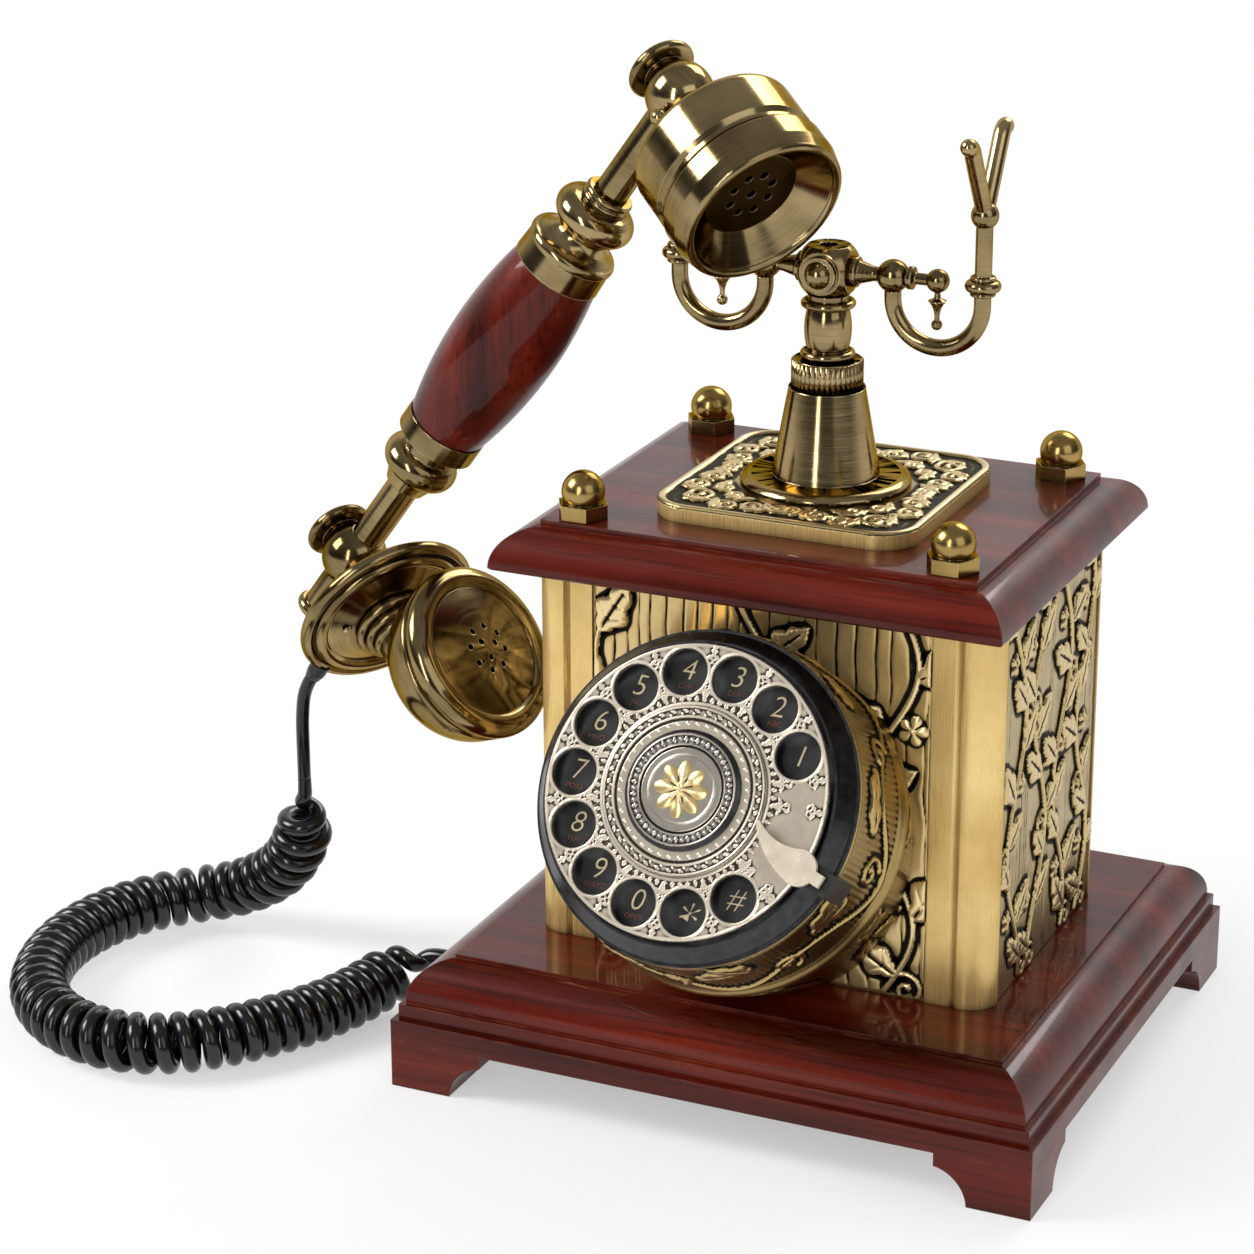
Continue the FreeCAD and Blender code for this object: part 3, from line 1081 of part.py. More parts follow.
ring_groove = S.ring_radius - S.ring_groove
upper_outline = [(TUBE_BORE, -S.grip_top), (TUBE_BORE, -S.upper_rings), (ring_groove, -S.upper_rings),
                 (S.ring_radius, -S.upper_rings - S.ring_half,
                  ring_groove, -S.upper_rings - 2 * S.ring_half),
                 (S.ring_radius, -S.upper_rings - 3 * S.ring_half,
                  ring_groove, -S.upper_rings - 4 * S.ring_half),
                 *bead_corners(S.upper_bead_radius, S.upper_bead, S.ferrule_neck),
                 (S.ferrule_neck - 0.4, -S.upper_band + 4.5),
                 (S.ferrule_neck + 1.2, -S.upper_band + 2.0, S.upper_band_radius - 0.6, -S.upper_band),
                 (S.upper_band_radius, -S.upper_band - 1.4, S.upper_band_radius - 0.4, -S.upper_band - 2.8),
                 (S.upper_band_radius, -S.grip_top)]
keep(turned("upper", upper_outline, HANDSET), "upper_ferrule")

grip_middle = (S.grip_top + S.grip_bottom) / 2
grip_outline = [(TUBE_BORE, -S.grip_bottom), (TUBE_BORE, -S.grip_top), (S.grip_top_radius, -S.grip_top),
                (S.grip_middle_radius, -grip_middle, S.grip_bottom_radius, -S.grip_bottom)]
keep(turned("wood", grip_outline, HANDSET), "grip")

lower_band_end = S.grip_bottom + S.lower_band_height
lower_outline = [(TUBE_BORE, -S.lower_rings), (TUBE_BORE, -S.grip_bottom),
                 (S.lower_band_radius, -S.grip_bottom),
                 (S.lower_band_radius, -lower_band_end), (S.ferrule_neck, -lower_band_end - 1.6),
                 *bead_corners(S.lower_bead_radius, S.lower_bead, S.ferrule_neck),
                 (S.ring_radius, -S.lower_bead - S.bead_half - 2.4), (S.ring_radius - 1.0, -S.lower_rings)]
keep(turned("lower", lower_outline, HANDSET), "lower_ferrule")

# Ear can, ear cap with its funnel, grille and receiver
ear_edge_via = S.ear_edge * (1 - math.sqrt(0.5))
ear_groove = S.ear_radius - S.ear_step
ear_bore = ear_groove - S.ear_wall
can_outline = [(0.0, S.ear_back), (S.ear_radius - S.ear_edge, S.ear_back),
               (S.ear_radius - ear_edge_via, S.ear_back + ear_edge_via,
                S.ear_radius, S.ear_back + S.ear_edge),
               (S.ear_radius, S.ear_split - 2 * S.ear_groove), (ear_groove, S.ear_split - S.ear_groove),
               (ear_groove, S.ear_split), (ear_bore, S.ear_split), (ear_bore, S.ear_back + S.ear_wall),
               (0.0, S.ear_back + S.ear_wall)]
keep(turned("can", can_outline, EAR_AXIS), "ear_can")
funnel_floor = S.ear_front - S.funnel_depth
grille_back = funnel_floor - S.grille_thickness
cap_outline = [(ear_bore, S.ear_split), (S.ear_radius - S.ear_step / 2, S.ear_split),
               (S.ear_ring, S.ear_split + S.ear_groove), (S.ear_ring, S.ear_front - S.ear_roll),
               (S.ear_ring - S.ear_step, S.ear_front - S.ear_step),
               (S.funnel_mouth + S.ear_groove, S.ear_front + S.ear_step * 0.4,
                S.funnel_mouth, S.ear_front - S.ear_step),
               (S.funnel_throat, funnel_floor), (S.funnel_throat, grille_back), (ear_bore, grille_back)]
keep(turned("ear_cap_ring", cap_outline, EAR_AXIS), "ear_cap")
grille_holes = [(0.0, 0.0, S.grille_hole * 1.2)]
for index in range(8):
    turn = math.radians(45.0 * index)
    grille_holes.append((S.grille_circle * math.cos(turn), S.grille_circle * math.sin(turn), S.grille_hole))
keep(padded("ear_sieve", S.funnel_throat - S.tube_clearance, S.grille_thickness,
            at(EAR_AXIS, z=grille_back), holes=grille_holes), "ear_grille")
keep(cylinder("receiver", S.receiver_radius, S.receiver_length,
              at(EAR_AXIS, z=grille_back - S.receiver_length)), "receiver_capsule")

# Mouthpiece: disc with a stepped neck, tilted bell, cone grille and microphone
BELL = at(MOUTH, S.bell_reach, z=S.bell_rise, turn=Rotation(Vector(0, 1, 0), 90 - float(S.bell_angle)))
lip_inner = S.bell_radius - S.bell_lip
lip_inner_z = -S.grille_depth * 0.4
band_edge = (S.bell_radius - S.bell_lip * 0.2, -S.bell_roll - S.bell_band)
bowl_side = [(S.bell_radius * 0.8, -S.bell_depth * 0.74, *band_edge),
             (S.bell_radius - S.bell_lip * 0.13, -S.bell_roll - S.bell_band / 2,
              S.bell_radius - S.bell_lip * 0.29, -S.bell_roll),
             (S.bell_radius, -S.bell_roll * 0.52, S.bell_radius - S.bell_lip * 0.34, -S.bell_roll * 0.08),
             (S.bell_radius - S.bell_lip * 0.58, 0.0, lip_inner, lip_inner_z)]
bowl_flat = S.mouth_neck * 0.6
bell_filled = [(0.0, 0.0), (0.0, -S.bell_depth), (bowl_flat, -S.bell_depth), *bowl_side]
bell_tool = turned("bell_outside", bell_filled, BELL)
inner_waist = (S.bell_radius * 0.8 - S.bell_wall, -S.bell_depth * 0.74 + S.bell_wall)
bell_outline = [(*inner_waist, bowl_flat, -S.bell_depth + S.bell_wall), (0.0, -S.bell_depth + S.bell_wall),
                (0.0, -S.bell_depth), (bowl_flat, -S.bell_depth), *bowl_side, (lip_inner, -S.bell_roll)]
keep(turned("bell", bell_outline, BELL), "mouth_bell")
cone_radius, cone_tip = lip_inner - S.tube_clearance, S.cone_rise - S.grille_depth
cone_seat = S.microphone_radius - S.cone_sheet
mouth_cone = turned("mouth_cone", [(cone_seat, -S.grille_depth), (cone_radius, -S.grille_depth),
                                   (cone_radius, lip_inner_z), (S.cone_sheet, cone_tip), (0.0, cone_tip),
                                   (0.0, cone_tip - S.cone_sheet)], BELL)
mouth_holes = []
for count, circle in ((8, S.mouth_hole_circle), (3, S.mouth_hole_inner)):
    for index in range(count):
        spot = at(BELL, turn=Rotation(Vector(0, 0, 1), 360 / count * index))
        mouth_holes.append(cylinder(f"mouth_hole_{count}_{index}", S.mouth_hole, 2 * S.cone_rise,
                                    at(spot, x=circle, z=-S.cone_rise)))
keep(cut("mouth_sieve", mouth_cone, *mouth_holes), "mouth_grille")
keep(cylinder("microphone_can", S.microphone_radius, S.microphone_length,
              at(BELL, z=-S.grille_depth - S.microphone_length)), "microphone")

step_front = S.disc_front + S.disc_step
roll_back = S.disc_front - 2 * S.disc_roll
neck_rings, neck_t = [], step_front
for index in range(3):
    ring_height = S.collar_step * (1 - 0.15 * index)
    neck_rings += rounded_ring(S.collar_step_radius - S.collar_shrink * index, neck_t, ring_height)
    neck_t = neck_t + ring_height
ring_inner = S.disc_step_radius - S.disc_ring
neck_end = S.bell_reach - S.neck_root
disc_outline = [(0.0, S.disc_back), (S.joint_neck + S.disc_hub, S.disc_back),
                (S.disc_radius - 4 * S.disc_roll, S.disc_back + S.disc_bevel),
                (S.disc_radius - S.disc_roll, roll_back),
                (S.disc_radius, S.disc_front - S.disc_roll, S.disc_radius - S.disc_roll, S.disc_front),
                (S.disc_step_radius + S.disc_groove / 2, S.disc_front - S.disc_groove),
                (S.disc_step_radius - S.disc_ring / 3, S.disc_front + S.disc_groove,
                 ring_inner, S.disc_front + S.disc_groove / 2),
                (ring_inner - S.disc_groove / 2, S.disc_front), *neck_rings,
                (S.mouth_neck, neck_t), (S.mouth_neck, neck_end), (0.0, neck_end)]
gland_t = S.disc_front - S.disc_roll
gland_top = math.sqrt(float(S.disc_radius - S.gland_sink) ** 2 - float(S.gland_side) ** 2)
GLAND = at(MOUTH, gland_t, S.gland_side, -gland_top - S.gland_length)
gland_taper = S.gland_length * 0.4
gland_outline = [(0.0, 0.0), (S.cord_radius + 0.3, 0.0), (S.gland_radius, gland_taper),
                 (S.gland_radius, S.gland_length), (0.0, S.gland_length)]
gland_body = turned("gland_body", gland_outline, GLAND)
gland_bore = cylinder("gland_bore", S.gland_radius + S.tube_clearance, S.gland_length - gland_taper,
                      at(GLAND, z=gland_taper))
tube_clear = cylinder("disc_tube_clear", TUBE_BORE, 2 * S.disc_radius, at(MOUTH, z=-S.disc_radius))
disc_turned = turned("disc_turned", disc_outline, MOUTH_AXIS)
keep(cut("disc", disc_turned, bell_tool, gland_bore, tube_clear), "mouth_disc")
keep(gland_body, "cord_gland")


# Curly cord: a straight lead from the gland, then curls along a smooth route to the plug
def tube_along(points, radius):
    """A tube on straight runs joined by arcs as large as the runs allow."""
    edges, radii, start = [], [], points[0]
    for before, point, after in zip(points, points[1:], points[2:]):
        into, out = (point - before), (after - point)
        shorter = 0.45 * min(into.Length, out.Length)
        into.normalize()
        out.normalize()
        turn = into.getAngle(out)
        radii.append(shorter / math.tan(turn / 2))
        first, last = point - into * shorter, point + out * shorter
        inward = out - into
        inward.normalize()
        middle = point + inward * (radii[-1] * (1 / math.cos(turn / 2) - 1))
        edges += [Part.LineSegment(start, first).toShape(), Part.Arc(first, middle, last).toShape()]
        start = last
    edges.append(Part.LineSegment(start, points[-1]).toShape())
    path = Part.Wire(edges)
    profile = Part.Wire(Part.makeCircle(radius, points[0], points[1] - points[0]))
    body = path.makePipeShell([profile], True, False)
    print("cord lead radii", [round(r, 1) for r in radii], "volume ratio",
          round(body.Volume / (math.pi * radius ** 2 * path.Length), 4))
    return body


def biarc(p1, t1, p2, t2):
    """Two tangent arcs between two points with given directions."""
    chord, both = p2 - p1, t1 + t2
    spread = 2 * (1 - t1.dot(t2))
    reach = (math.sqrt(chord.dot(both) ** 2 + spread * chord.dot(chord)) - chord.dot(both)) / spread
    meet = (p1 + t1 * reach + p2 - t2 * reach) * 0.5
    return [tangent_arc(p1, p1 + t1 * reach, meet), tangent_arc(meet, p2 - t2 * reach, p2)]


def tangent_arc(first, corner, last):
    """The arc from first to last whose end tangents meet in the corner."""
    middle = (first + last) * 0.5
    half, rise = (last - first).Length / 2, corner - middle
    angle = math.atan2(rise.Length, half)
    rise.normalize()
    return Part.Arc(first, middle + rise * (half * math.tan(angle / 2)), last).toShape()


GLAND_END = GLAND.Base
DOWN_HANDLE = HANDSET.Rotation.multVec(Vector(0, 0, -1))
LEAD_POINTS = [(-165.6, -22, 83), (-166.2, -21, 72), (-167.2, -19.2, 61)]
COIL_POINTS = [(-167.7, -18.2, 55.5), (-168.8, -16.6, 44.6), (-172.8, -14.6, 34), (-180, -12.2, 24.6),
               (-190, -10.8, 17.4), (-201, -11, 12.4), (-212, -14.6, 10.2), (-220.4, -22.2, 9.7),
               (-226.8, -32.8, 9.7), (-230.6, -45.8, 9.7), (-231.8, -60.4, 9.7), (-229.2, -75.8, 9.7),
               (-223.2, -90.4, 9.7), (-213.8, -102.8, 9.7), (-201.4, -111.4, 9.7), (-187.2, -115.6, 9.7),
               (-173.2, -114.8, 9.7), (-160.8, -108.6, 9.7), (-150.4, -98.6, 9.7), (-142.2, -87.4, 9.7),
               (-135.6, -76.4, 9.7), (-130.6, -65.4, 9.9), (-126.8, -54.4, 10.8), (-123.4, -45.6, 12.6),
               (-119.4, -40.4, 14.8), (-115.4, -38.2, 16.6), (-111.6, -38, 17.6)]


def placed(points):
    """The points of a route, given from the middle of the base."""
    return [ORIGIN.multVec(Vector(*point)) for point in points]


plug_z = S.foot_height + S.jack_height / 2
PLUG_FACE = at(ORIGIN, -(S.base_width / 2 + S.plug_length), S.handset_jack_y, plug_z)
LEAD_ROUTE = [GLAND_END, GLAND_END + DOWN_HANDLE * float(S.lead_start), *placed(LEAD_POINTS)]
COIL_ROUTE = [LEAD_ROUTE[-1], *placed(COIL_POINTS), PLUG_FACE.Base]
keep(solid("lead", tube_along(LEAD_ROUTE, float(S.cord_radius))), "cord_lead")


def smooth_route(points):
    """The quadratic curve that the route's points pull on, clamped at both ends."""
    spans = len(points) - 2
    curve = Part.BSplineCurve()
    curve.buildFromPolesMultsKnots(points, [3] + [1] * (spans - 1) + [3], list(range(spans + 1)), False, 2)
    return curve


def curled(route, spacing, radius, straight, ease):
    """Points along the curls, which open from the route after a straight start and close before its end.

    The curls stand the spacing apart on the inside of the route's bends."""
    curve = smooth_route(route)
    length = curve.length()
    side, along, turn, line = Vector(1, 0, 0), 0.0, 0.0, []
    while along < length - spacing / STEPS_PER_TURN:
        parameter = curve.parameterAtDistance(along)
        pitch = spacing / (1 - radius * curve.curvature(parameter))
        ahead = Vector(*curve.tangent(parameter))
        side = side - ahead * side.dot(ahead)
        side.normalize()
        share = min(max((min(along, length - along) - straight) / ease, 0.0), 1.0)
        opened = share * share * (3 - 2 * share)
        across = side * math.cos(turn) + ahead.cross(side) * math.sin(turn)
        line.append(curve.value(parameter) + across * (radius * opened))
        along += pitch / STEPS_PER_TURN / (LAZY_TURN + (1 - LAZY_TURN) * opened)
        turn += 2 * math.pi / STEPS_PER_TURN
    return line + [route[-1]]


def curl_gap(line, wire):
    """The least gap between neighbouring turns, measured on the points of the curl."""
    reach = range(STEPS_PER_TURN * 3 // 4, STEPS_PER_TURN * 3 // 2)
    return min((line[index + step] - spot).Length for index, spot in enumerate(line)
               for step in reach if index + step < len(line)) - wire


def direction(line, index):
    ahead = line[min(index + 1, len(line) - 1)] - line[max(index - 1, 0)]
    ahead.normalize()
    return ahead


def curl_tube(line, radius):
    """A tube on biarcs of a quarter turn through the points of the curl."""
    marks = list(range(0, len(line) - STEPS_PER_TURN // 4, STEPS_PER_TURN // 4)) + [len(line) - 1]
    edges = []
    for first, last in zip(marks, marks[1:]):
        edges += biarc(line[first], direction(line, first), line[last], direction(line, last))
    path = Part.Wire(edges)
    profile = Part.Wire(Part.makeCircle(radius, line[0], direction(line, 0)))
    body = path.makePipeShell([profile], True, False)
    tightest = min(edge.Curve.Radius for edge in path.Edges if hasattr(edge.Curve, "Radius"))
    print("curl gap", round(curl_gap(line, 2 * radius), 2), "turns", round(len(line) / STEPS_PER_TURN, 1),
          "tightest", round(tightest, 2), "volume ratio",
          round(body.Volume / (math.pi * radius ** 2 * path.Length), 4))
    return body


curl_spacing = float(2 * S.coil_wire + S.coil_gap)
curl_line = curled(COIL_ROUTE, curl_spacing, float(S.coil_radius), float(2 * S.coil_wire), float(S.coil_ease))
keep(solid("curl", curl_tube(curl_line, float(S.coil_wire))), "cord_coil")

plug_body = box("plug_body", S.plug_length, S.plug_width, S.plug_height,
                at(PLUG_FACE, y=-S.plug_width / 2, z=-S.plug_height / 2))
plug_nose = box("plug_nose", S.plug_length + S.jack_depth * 0.9, S.jack_hole - 0.4, S.jack_mouth - 0.4,
                at(PLUG_FACE, y=-(S.jack_hole - 0.4) / 2, z=-(S.jack_mouth - 0.4) / 2))
keep(fuse("plug", plug_body, plug_nose), "cord_plug")

# Build, check and write every sub-part
doc.recompute()
for obj in doc.Objects:
    if {"Invalid", "Error"} & set(obj.State):
        raise RuntimeError(f"{obj.Label} failed: {obj.State}")
for obj in pieces:
    if obj.Shape.isNull() or not obj.Shape.isValid() or not obj.Shape.Solids:
        raise RuntimeError(f"{obj.Label} has no valid solid")
for obj in pieces:
    obj.Shape.exportStep(f"parts/{obj.Label}.step")
    print(f"{obj.Label}: {len(obj.Shape.Solids)} solid, {obj.Shape.Volume:.1f} mm3")
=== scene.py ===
import json
import math
import random

import bpy
import numpy as np
from mathutils import Euler, Matrix, Vector


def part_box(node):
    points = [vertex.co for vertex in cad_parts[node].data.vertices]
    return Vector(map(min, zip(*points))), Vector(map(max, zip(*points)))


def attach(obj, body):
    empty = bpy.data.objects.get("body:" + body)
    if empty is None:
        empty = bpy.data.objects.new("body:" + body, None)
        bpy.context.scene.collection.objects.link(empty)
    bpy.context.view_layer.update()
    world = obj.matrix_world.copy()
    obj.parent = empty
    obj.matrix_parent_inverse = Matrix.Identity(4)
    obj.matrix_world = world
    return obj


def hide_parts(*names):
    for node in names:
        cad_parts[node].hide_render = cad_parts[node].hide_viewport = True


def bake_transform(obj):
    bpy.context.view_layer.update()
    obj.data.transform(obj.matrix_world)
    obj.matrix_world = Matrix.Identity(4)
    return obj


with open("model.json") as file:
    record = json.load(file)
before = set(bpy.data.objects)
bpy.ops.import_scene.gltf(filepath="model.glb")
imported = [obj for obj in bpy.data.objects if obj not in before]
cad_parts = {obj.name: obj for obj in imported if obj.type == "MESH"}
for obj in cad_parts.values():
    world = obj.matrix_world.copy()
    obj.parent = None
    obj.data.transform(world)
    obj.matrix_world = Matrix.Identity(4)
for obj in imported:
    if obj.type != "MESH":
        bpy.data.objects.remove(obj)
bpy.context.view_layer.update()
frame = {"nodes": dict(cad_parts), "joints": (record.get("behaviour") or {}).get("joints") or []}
NODES = frame["nodes"]
JOINTS = {joint["name"]: joint for joint in frame["joints"]}
MM = 0.001
BASE_LOW, BASE_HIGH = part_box("base_frame")
BASE = Vector(((BASE_LOW.x + BASE_HIGH.x) / 2, (BASE_LOW.y + BASE_HIGH.y) / 2, 0))

# Camera of the photograph, measured from the base's straight edges
CAMERA_PLACE = BASE + Vector((0.39256, -0.98486, 0.52094))
CAMERA_RIGHT = Vector((0.9078, 0.4194, -0.0035))
CAMERA_FORWARD = Vector((-0.3946, 0.8512, -0.3462))
CAMERA_LENS = 109.63

# Dial, handset and bell frames, as in the part's source
DIAL_AXIS = Vector(JOINTS["dial_spin"]["axis"])
DIAL_UP = DIAL_AXIS.cross(Vector((1, 0, 0))).normalized()
DIAL = Matrix((Vector((1, 0, 0)), DIAL_UP, DIAL_AXIS)).transposed().to_4x4()
DIAL.translation = Vector(JOINTS["dial_spin"]["pos_m"])
EAR_BALL = BASE + Vector((-46.6, 0, 285.302)) * MM
HANDSET_TURN = Euler([math.radians(angle) for angle in (-18.9, 30.48, -32.74)], "XYZ")
HANDSET_LENGTH = 189.3 * MM
BELL_SHIFT, BELL_TILT = (63.4 * MM, 0, 25.4 * MM), math.radians(24)
HANDSET = Matrix.Translation(EAR_BALL) @ HANDSET_TURN.to_matrix().to_4x4()
MOUTH = HANDSET @ Matrix.Translation((0, 0, -HANDSET_LENGTH))
BELL = MOUTH @ Matrix.Translation(BELL_SHIFT) @ Matrix.Rotation(BELL_TILT, 4, "Y")

# Cord: the route's points are those of the part's source, from the base's centre in millimetres
GLAND_END = MOUTH @ (Vector((23.0, -10.0, -30.97)) * MM)
LEAD_START = GLAND_END + HANDSET.to_3x3() @ Vector((0, 0, -5 * MM))
LEAD_POINTS = [(-165.6, -22, 83), (-166.2, -21, 72), (-167.2, -19.2, 61)]
COIL_POINTS = [(-167.7, -18.2, 55.5), (-168.8, -16.6, 44.6), (-172.8, -14.6, 34), (-180, -12.2, 24.6),
               (-190, -10.8, 17.4), (-201, -11, 12.4), (-212, -14.6, 10.2), (-220.4, -22.2, 9.7),
               (-226.8, -32.8, 9.7), (-230.6, -45.8, 9.7), (-231.8, -60.4, 9.7), (-229.2, -75.8, 9.7),
               (-223.2, -90.4, 9.7), (-213.8, -102.8, 9.7), (-201.4, -111.4, 9.7), (-187.2, -115.6, 9.7),
               (-173.2, -114.8, 9.7), (-160.8, -108.6, 9.7), (-150.4, -98.6, 9.7), (-142.2, -87.4, 9.7),
               (-135.6, -76.4, 9.7), (-130.6, -65.4, 9.9), (-126.8, -54.4, 10.8), (-123.4, -45.6, 12.6),
               (-119.4, -40.4, 14.8), (-115.4, -38.2, 16.6), (-111.6, -38, 17.6), (-108, -38, 17.6)]
LEAD_RADIUS = 2.1 * MM
WIRE_RADIUS = 2.7 * MM
CURL_RADIUS = 6.7 * MM
CURL_SPACING = 5.5 * MM
CURL_EASE = 15 * MM
LAZY_TURN = 0.3
STEPS_PER_TURN = 24


# Node helpers for the world and the materials
class Nodes:
    """A node tree with short ways to add and link nodes."""

    def __init__(self, tree):
        self.tree = tree

    def node(self, kind, **values):
        node = self.tree.nodes.new(kind)
        for key, value in values.items():
            if key in node.inputs:
                node.inputs[key].default_value = value
            else:
                setattr(node, key, value)
        return node

    def link(self, output, target):
        self.tree.links.new(output, target)

    def feed(self, value, socket):
        """Link an output to a socket, or set the socket to a number or colour."""
        if isinstance(value, bpy.types.NodeSocket):
            self.link(value, socket)
        else:
            socket.default_value = (*value, 1) if isinstance(value, tuple) else value

    def math(self, operation, first, second=0.0, clamp=False):
        node = self.node("ShaderNodeMath", operation=operation, use_clamp=clamp)
        for value, socket in zip((first, second), node.inputs):
            self.feed(value, socket)
        return node.outputs[0]

    def spread(self, value, low, high, start, end):
        """Map a value from one range to another, clamped."""
        node = self.node("ShaderNodeMapRange")
        for setting, socket in zip((value, low, high, start, end), node.inputs):
            self.feed(setting, socket)
        return node.outputs[0]

    def mirrored_rays(self):
        """One for what metal and glass show."""
        paths = self.node("ShaderNodeLightPath").outputs
        return self.math("MAXIMUM", paths["Is Glossy Ray"], paths["Is Transmission Ray"])

    def camera_rays(self):
        return self.node("ShaderNodeLightPath").outputs["Is Camera Ray"]


class Shader(Nodes):
    """A material's node tree round its main shader."""

    def __init__(self, name):
        self.material = bpy.data.materials.new(name)
        self.material.use_nodes = True
        super().__init__(self.material.node_tree)
        self.bsdf = self.tree.nodes["Principled BSDF"]

    def set(self, **values):
        for key, value in values.items():
            self.bsdf.inputs[key.replace("_", " ")].default_value = value

    def noise(self, scale, detail=4.0, coordinates=None):
        node = self.node("ShaderNodeTexNoise", Scale=scale, Detail=detail, Roughness=0.55)
        if coordinates is None:
            coordinates = self.node("ShaderNodeTexCoord").outputs["Object"]
        self.link(coordinates, node.inputs["Vector"])
        return node.outputs["Fac"]

    def stretch(self, scale):
        """Object coordinates scaled by axis, for streaks and grain."""
        mapping = self.node("ShaderNodeMapping", Scale=scale)
        self.link(self.node("ShaderNodeTexCoord").outputs["Object"], mapping.inputs["Vector"])
        return mapping.outputs["Vector"]

    def ramp(self, factor, stops):
        node = self.node("ShaderNodeValToRGB")
        ramp = node.color_ramp
        while len(ramp.elements) < len(stops):
            ramp.elements.new(0.5)
        for element, (position, colour) in zip(ramp.elements, stops):
            element.position = position
            element.color = (*colour, 1)
        self.link(factor, node.inputs["Fac"])
        return node.outputs["Color"]

    def mix(self, factor, first, second, blend="MIX"):
        node = self.node("ShaderNodeMix", data_type="RGBA", blend_type=blend)
        for value, socket in ((factor, node.inputs[0]), (first, node.inputs[6]), (second, node.inputs[7])):
            self.feed(value, socket)
        return node.outputs[2]

    def corner_shade_and_patina(self, reach):
        """High in the corners, found by ambient occlusion: painted shade where the corners lie in shade,
        together with the patina that settles there.
        """
        shade = self.node("ShaderNodeAmbientOcclusion", Distance=reach, samples=6)
        return self.spread(shade.outputs["AO"], 0.75, 0.3, 0.0, 1.0)

    def spun(self, axis, amount):
        """Highlights stretched as on metal that was brushed round an axis."""
        around = self.node("ShaderNodeVectorMath", operation="CROSS_PRODUCT")
        around.inputs[0].default_value = axis
        self.link(self.node("ShaderNodeNewGeometry").outputs["Normal"], around.inputs[1])
        self.link(around.outputs["Vector"], self.bsdf.inputs["Tangent"])
        self.set(Anisotropic=amount, Anisotropic_Rotation=0.25)

    def along(self, axis, fine, coarse):
        """Noise coordinates that run fast along an axis and slowly across it."""
        turn = Vector((0, 0, 1)).rotation_difference(axis).to_euler()
        mapping = self.node("ShaderNodeMapping", vector_type="TEXTURE", Rotation=turn,
                            Scale=(1 / coarse, 1 / coarse, 1 / fine))
        self.link(self.node("ShaderNodeTexCoord").outputs["Object"], mapping.inputs["Vector"])
        return mapping.outputs["Vector"]

    def attribute(self, name):
        return self.node("ShaderNodeAttribute", attribute_name=name).outputs["Fac"]

    def edges(self, radius):
        """How much the rounded normal leaves the true one: high along sharp edges."""
        bevel = self.node("ShaderNodeBevel", Radius=radius, samples=4)
        product = self.node("ShaderNodeVectorMath", operation="DOT_PRODUCT")
        self.link(bevel.outputs["Normal"], product.inputs[0])
        self.link(self.node("ShaderNodeNewGeometry").outputs["Normal"], product.inputs[1])
        return self.spread(product.outputs["Value"], 0.995, 0.8, 0.0, 1.0)

    def bump(self, height, strength, distance, rounded=0.0):
        node = self.node("ShaderNodeBump", Strength=strength, Distance=distance)
        self.link(height, node.inputs["Height"])
        if rounded:
            bevel = self.node("ShaderNodeBevel", Radius=rounded, samples=4)
            self.link(bevel.outputs["Normal"], node.inputs["Normal"])
        self.link(node.outputs["Normal"], self.bsdf.inputs["Normal"])

    def colour(self, output):
        self.link(output, self.bsdf.inputs["Base Color"])

    def rough(self, output):
        self.link(output, self.bsdf.inputs["Roughness"])


def mahogany(name, along):
    """Glossy red-brown wood with fine grain and broad figure along one axis."""
    shader = Shader(name)

    def streaks(lengthwise, crosswise, detail):
        scale = tuple(lengthwise if axis == along else crosswise for axis in range(3))
        return shader.noise(1.0, detail, shader.stretch(scale))

    grain, figure = streaks(22.0, 900.0, 5.0), streaks(4.0, 70.0, 4.0)
    tone = shader.ramp(figure, [(0.3, (0.032, 0.0026, 0.0012)), (0.55, (0.105, 0.0088, 0.003)),
                                (0.75, (0.19, 0.020, 0.0064))])
    pores = shader.ramp(grain, [(0.34, (0.35, 0.35, 0.35)), (0.5, (1.0, 1.0, 1.0))])
    wood = shader.mix(0.75, tone, pores, "MULTIPLY")
    # Lighter edges: painted highlight where light catches the edges, broken into patches like wear.
    patches = shader.spread(shader.noise(160.0), 0.42, 0.62, 0.0, 0.55)
    edge_wear_and_highlight = shader.math("MULTIPLY", shader.edges(0.0009), patches)
    shader.colour(shader.mix(edge_wear_and_highlight, wood, (0.26, 0.075, 0.03)))
    shader.rough(shader.spread(shader.noise(45.0), 0.3, 0.7, 0.24, 0.4))
    shader.bump(grain, 0.12, 0.0002, rounded=0.0008)
    shader.set(Coat_Weight=0.36, Coat_Roughness=0.06, Specular_IOR_Level=0.1)
    return shader.material


def antique_brass(name, axis, dark, light, polish, rough, spin, metallic=1.0):
    """Polished, browned brass, brushed round an axis, with bright rubbed edges and corners darkened by
    painted shade together with patina.
    """
    shader = Shader(name)
    cloud = shader.noise(30.0, 4.0)
    brushed = shader.noise(1.0, 4.0, shader.along(axis, 5200.0, 60.0))
    level = shader.math("ADD", shader.math("MULTIPLY", cloud, 0.75), shader.math("MULTIPLY", brushed, 0.25))
    tone = shader.ramp(level, [(0.36, dark), (0.64, light)])
    edge_wear_and_highlight = shader.mix(shader.math("MULTIPLY", shader.edges(0.0006), 0.7), tone, polish)
    # The corners darken by ambient occlusion: painted shade, together with patina.
    shader.colour(shader.mix(shader.math("MULTIPLY", shader.corner_shade_and_patina(0.004), 0.85), edge_wear_and_highlight, PATINA_AND_CORNER_SHADE))
    shader.rough(shader.spread(brushed, 0.3, 0.7, rough * 0.75, rough * 1.3))
    shader.bump(brushed, 0.03, 0.0001, rounded=0.0005)
    shader.set(Metallic=metallic, Specular_Tint=(0.55, 0.42, 0.24, 1.0))
    if spin:
        shader.spun(axis, spin)
    return shader.material


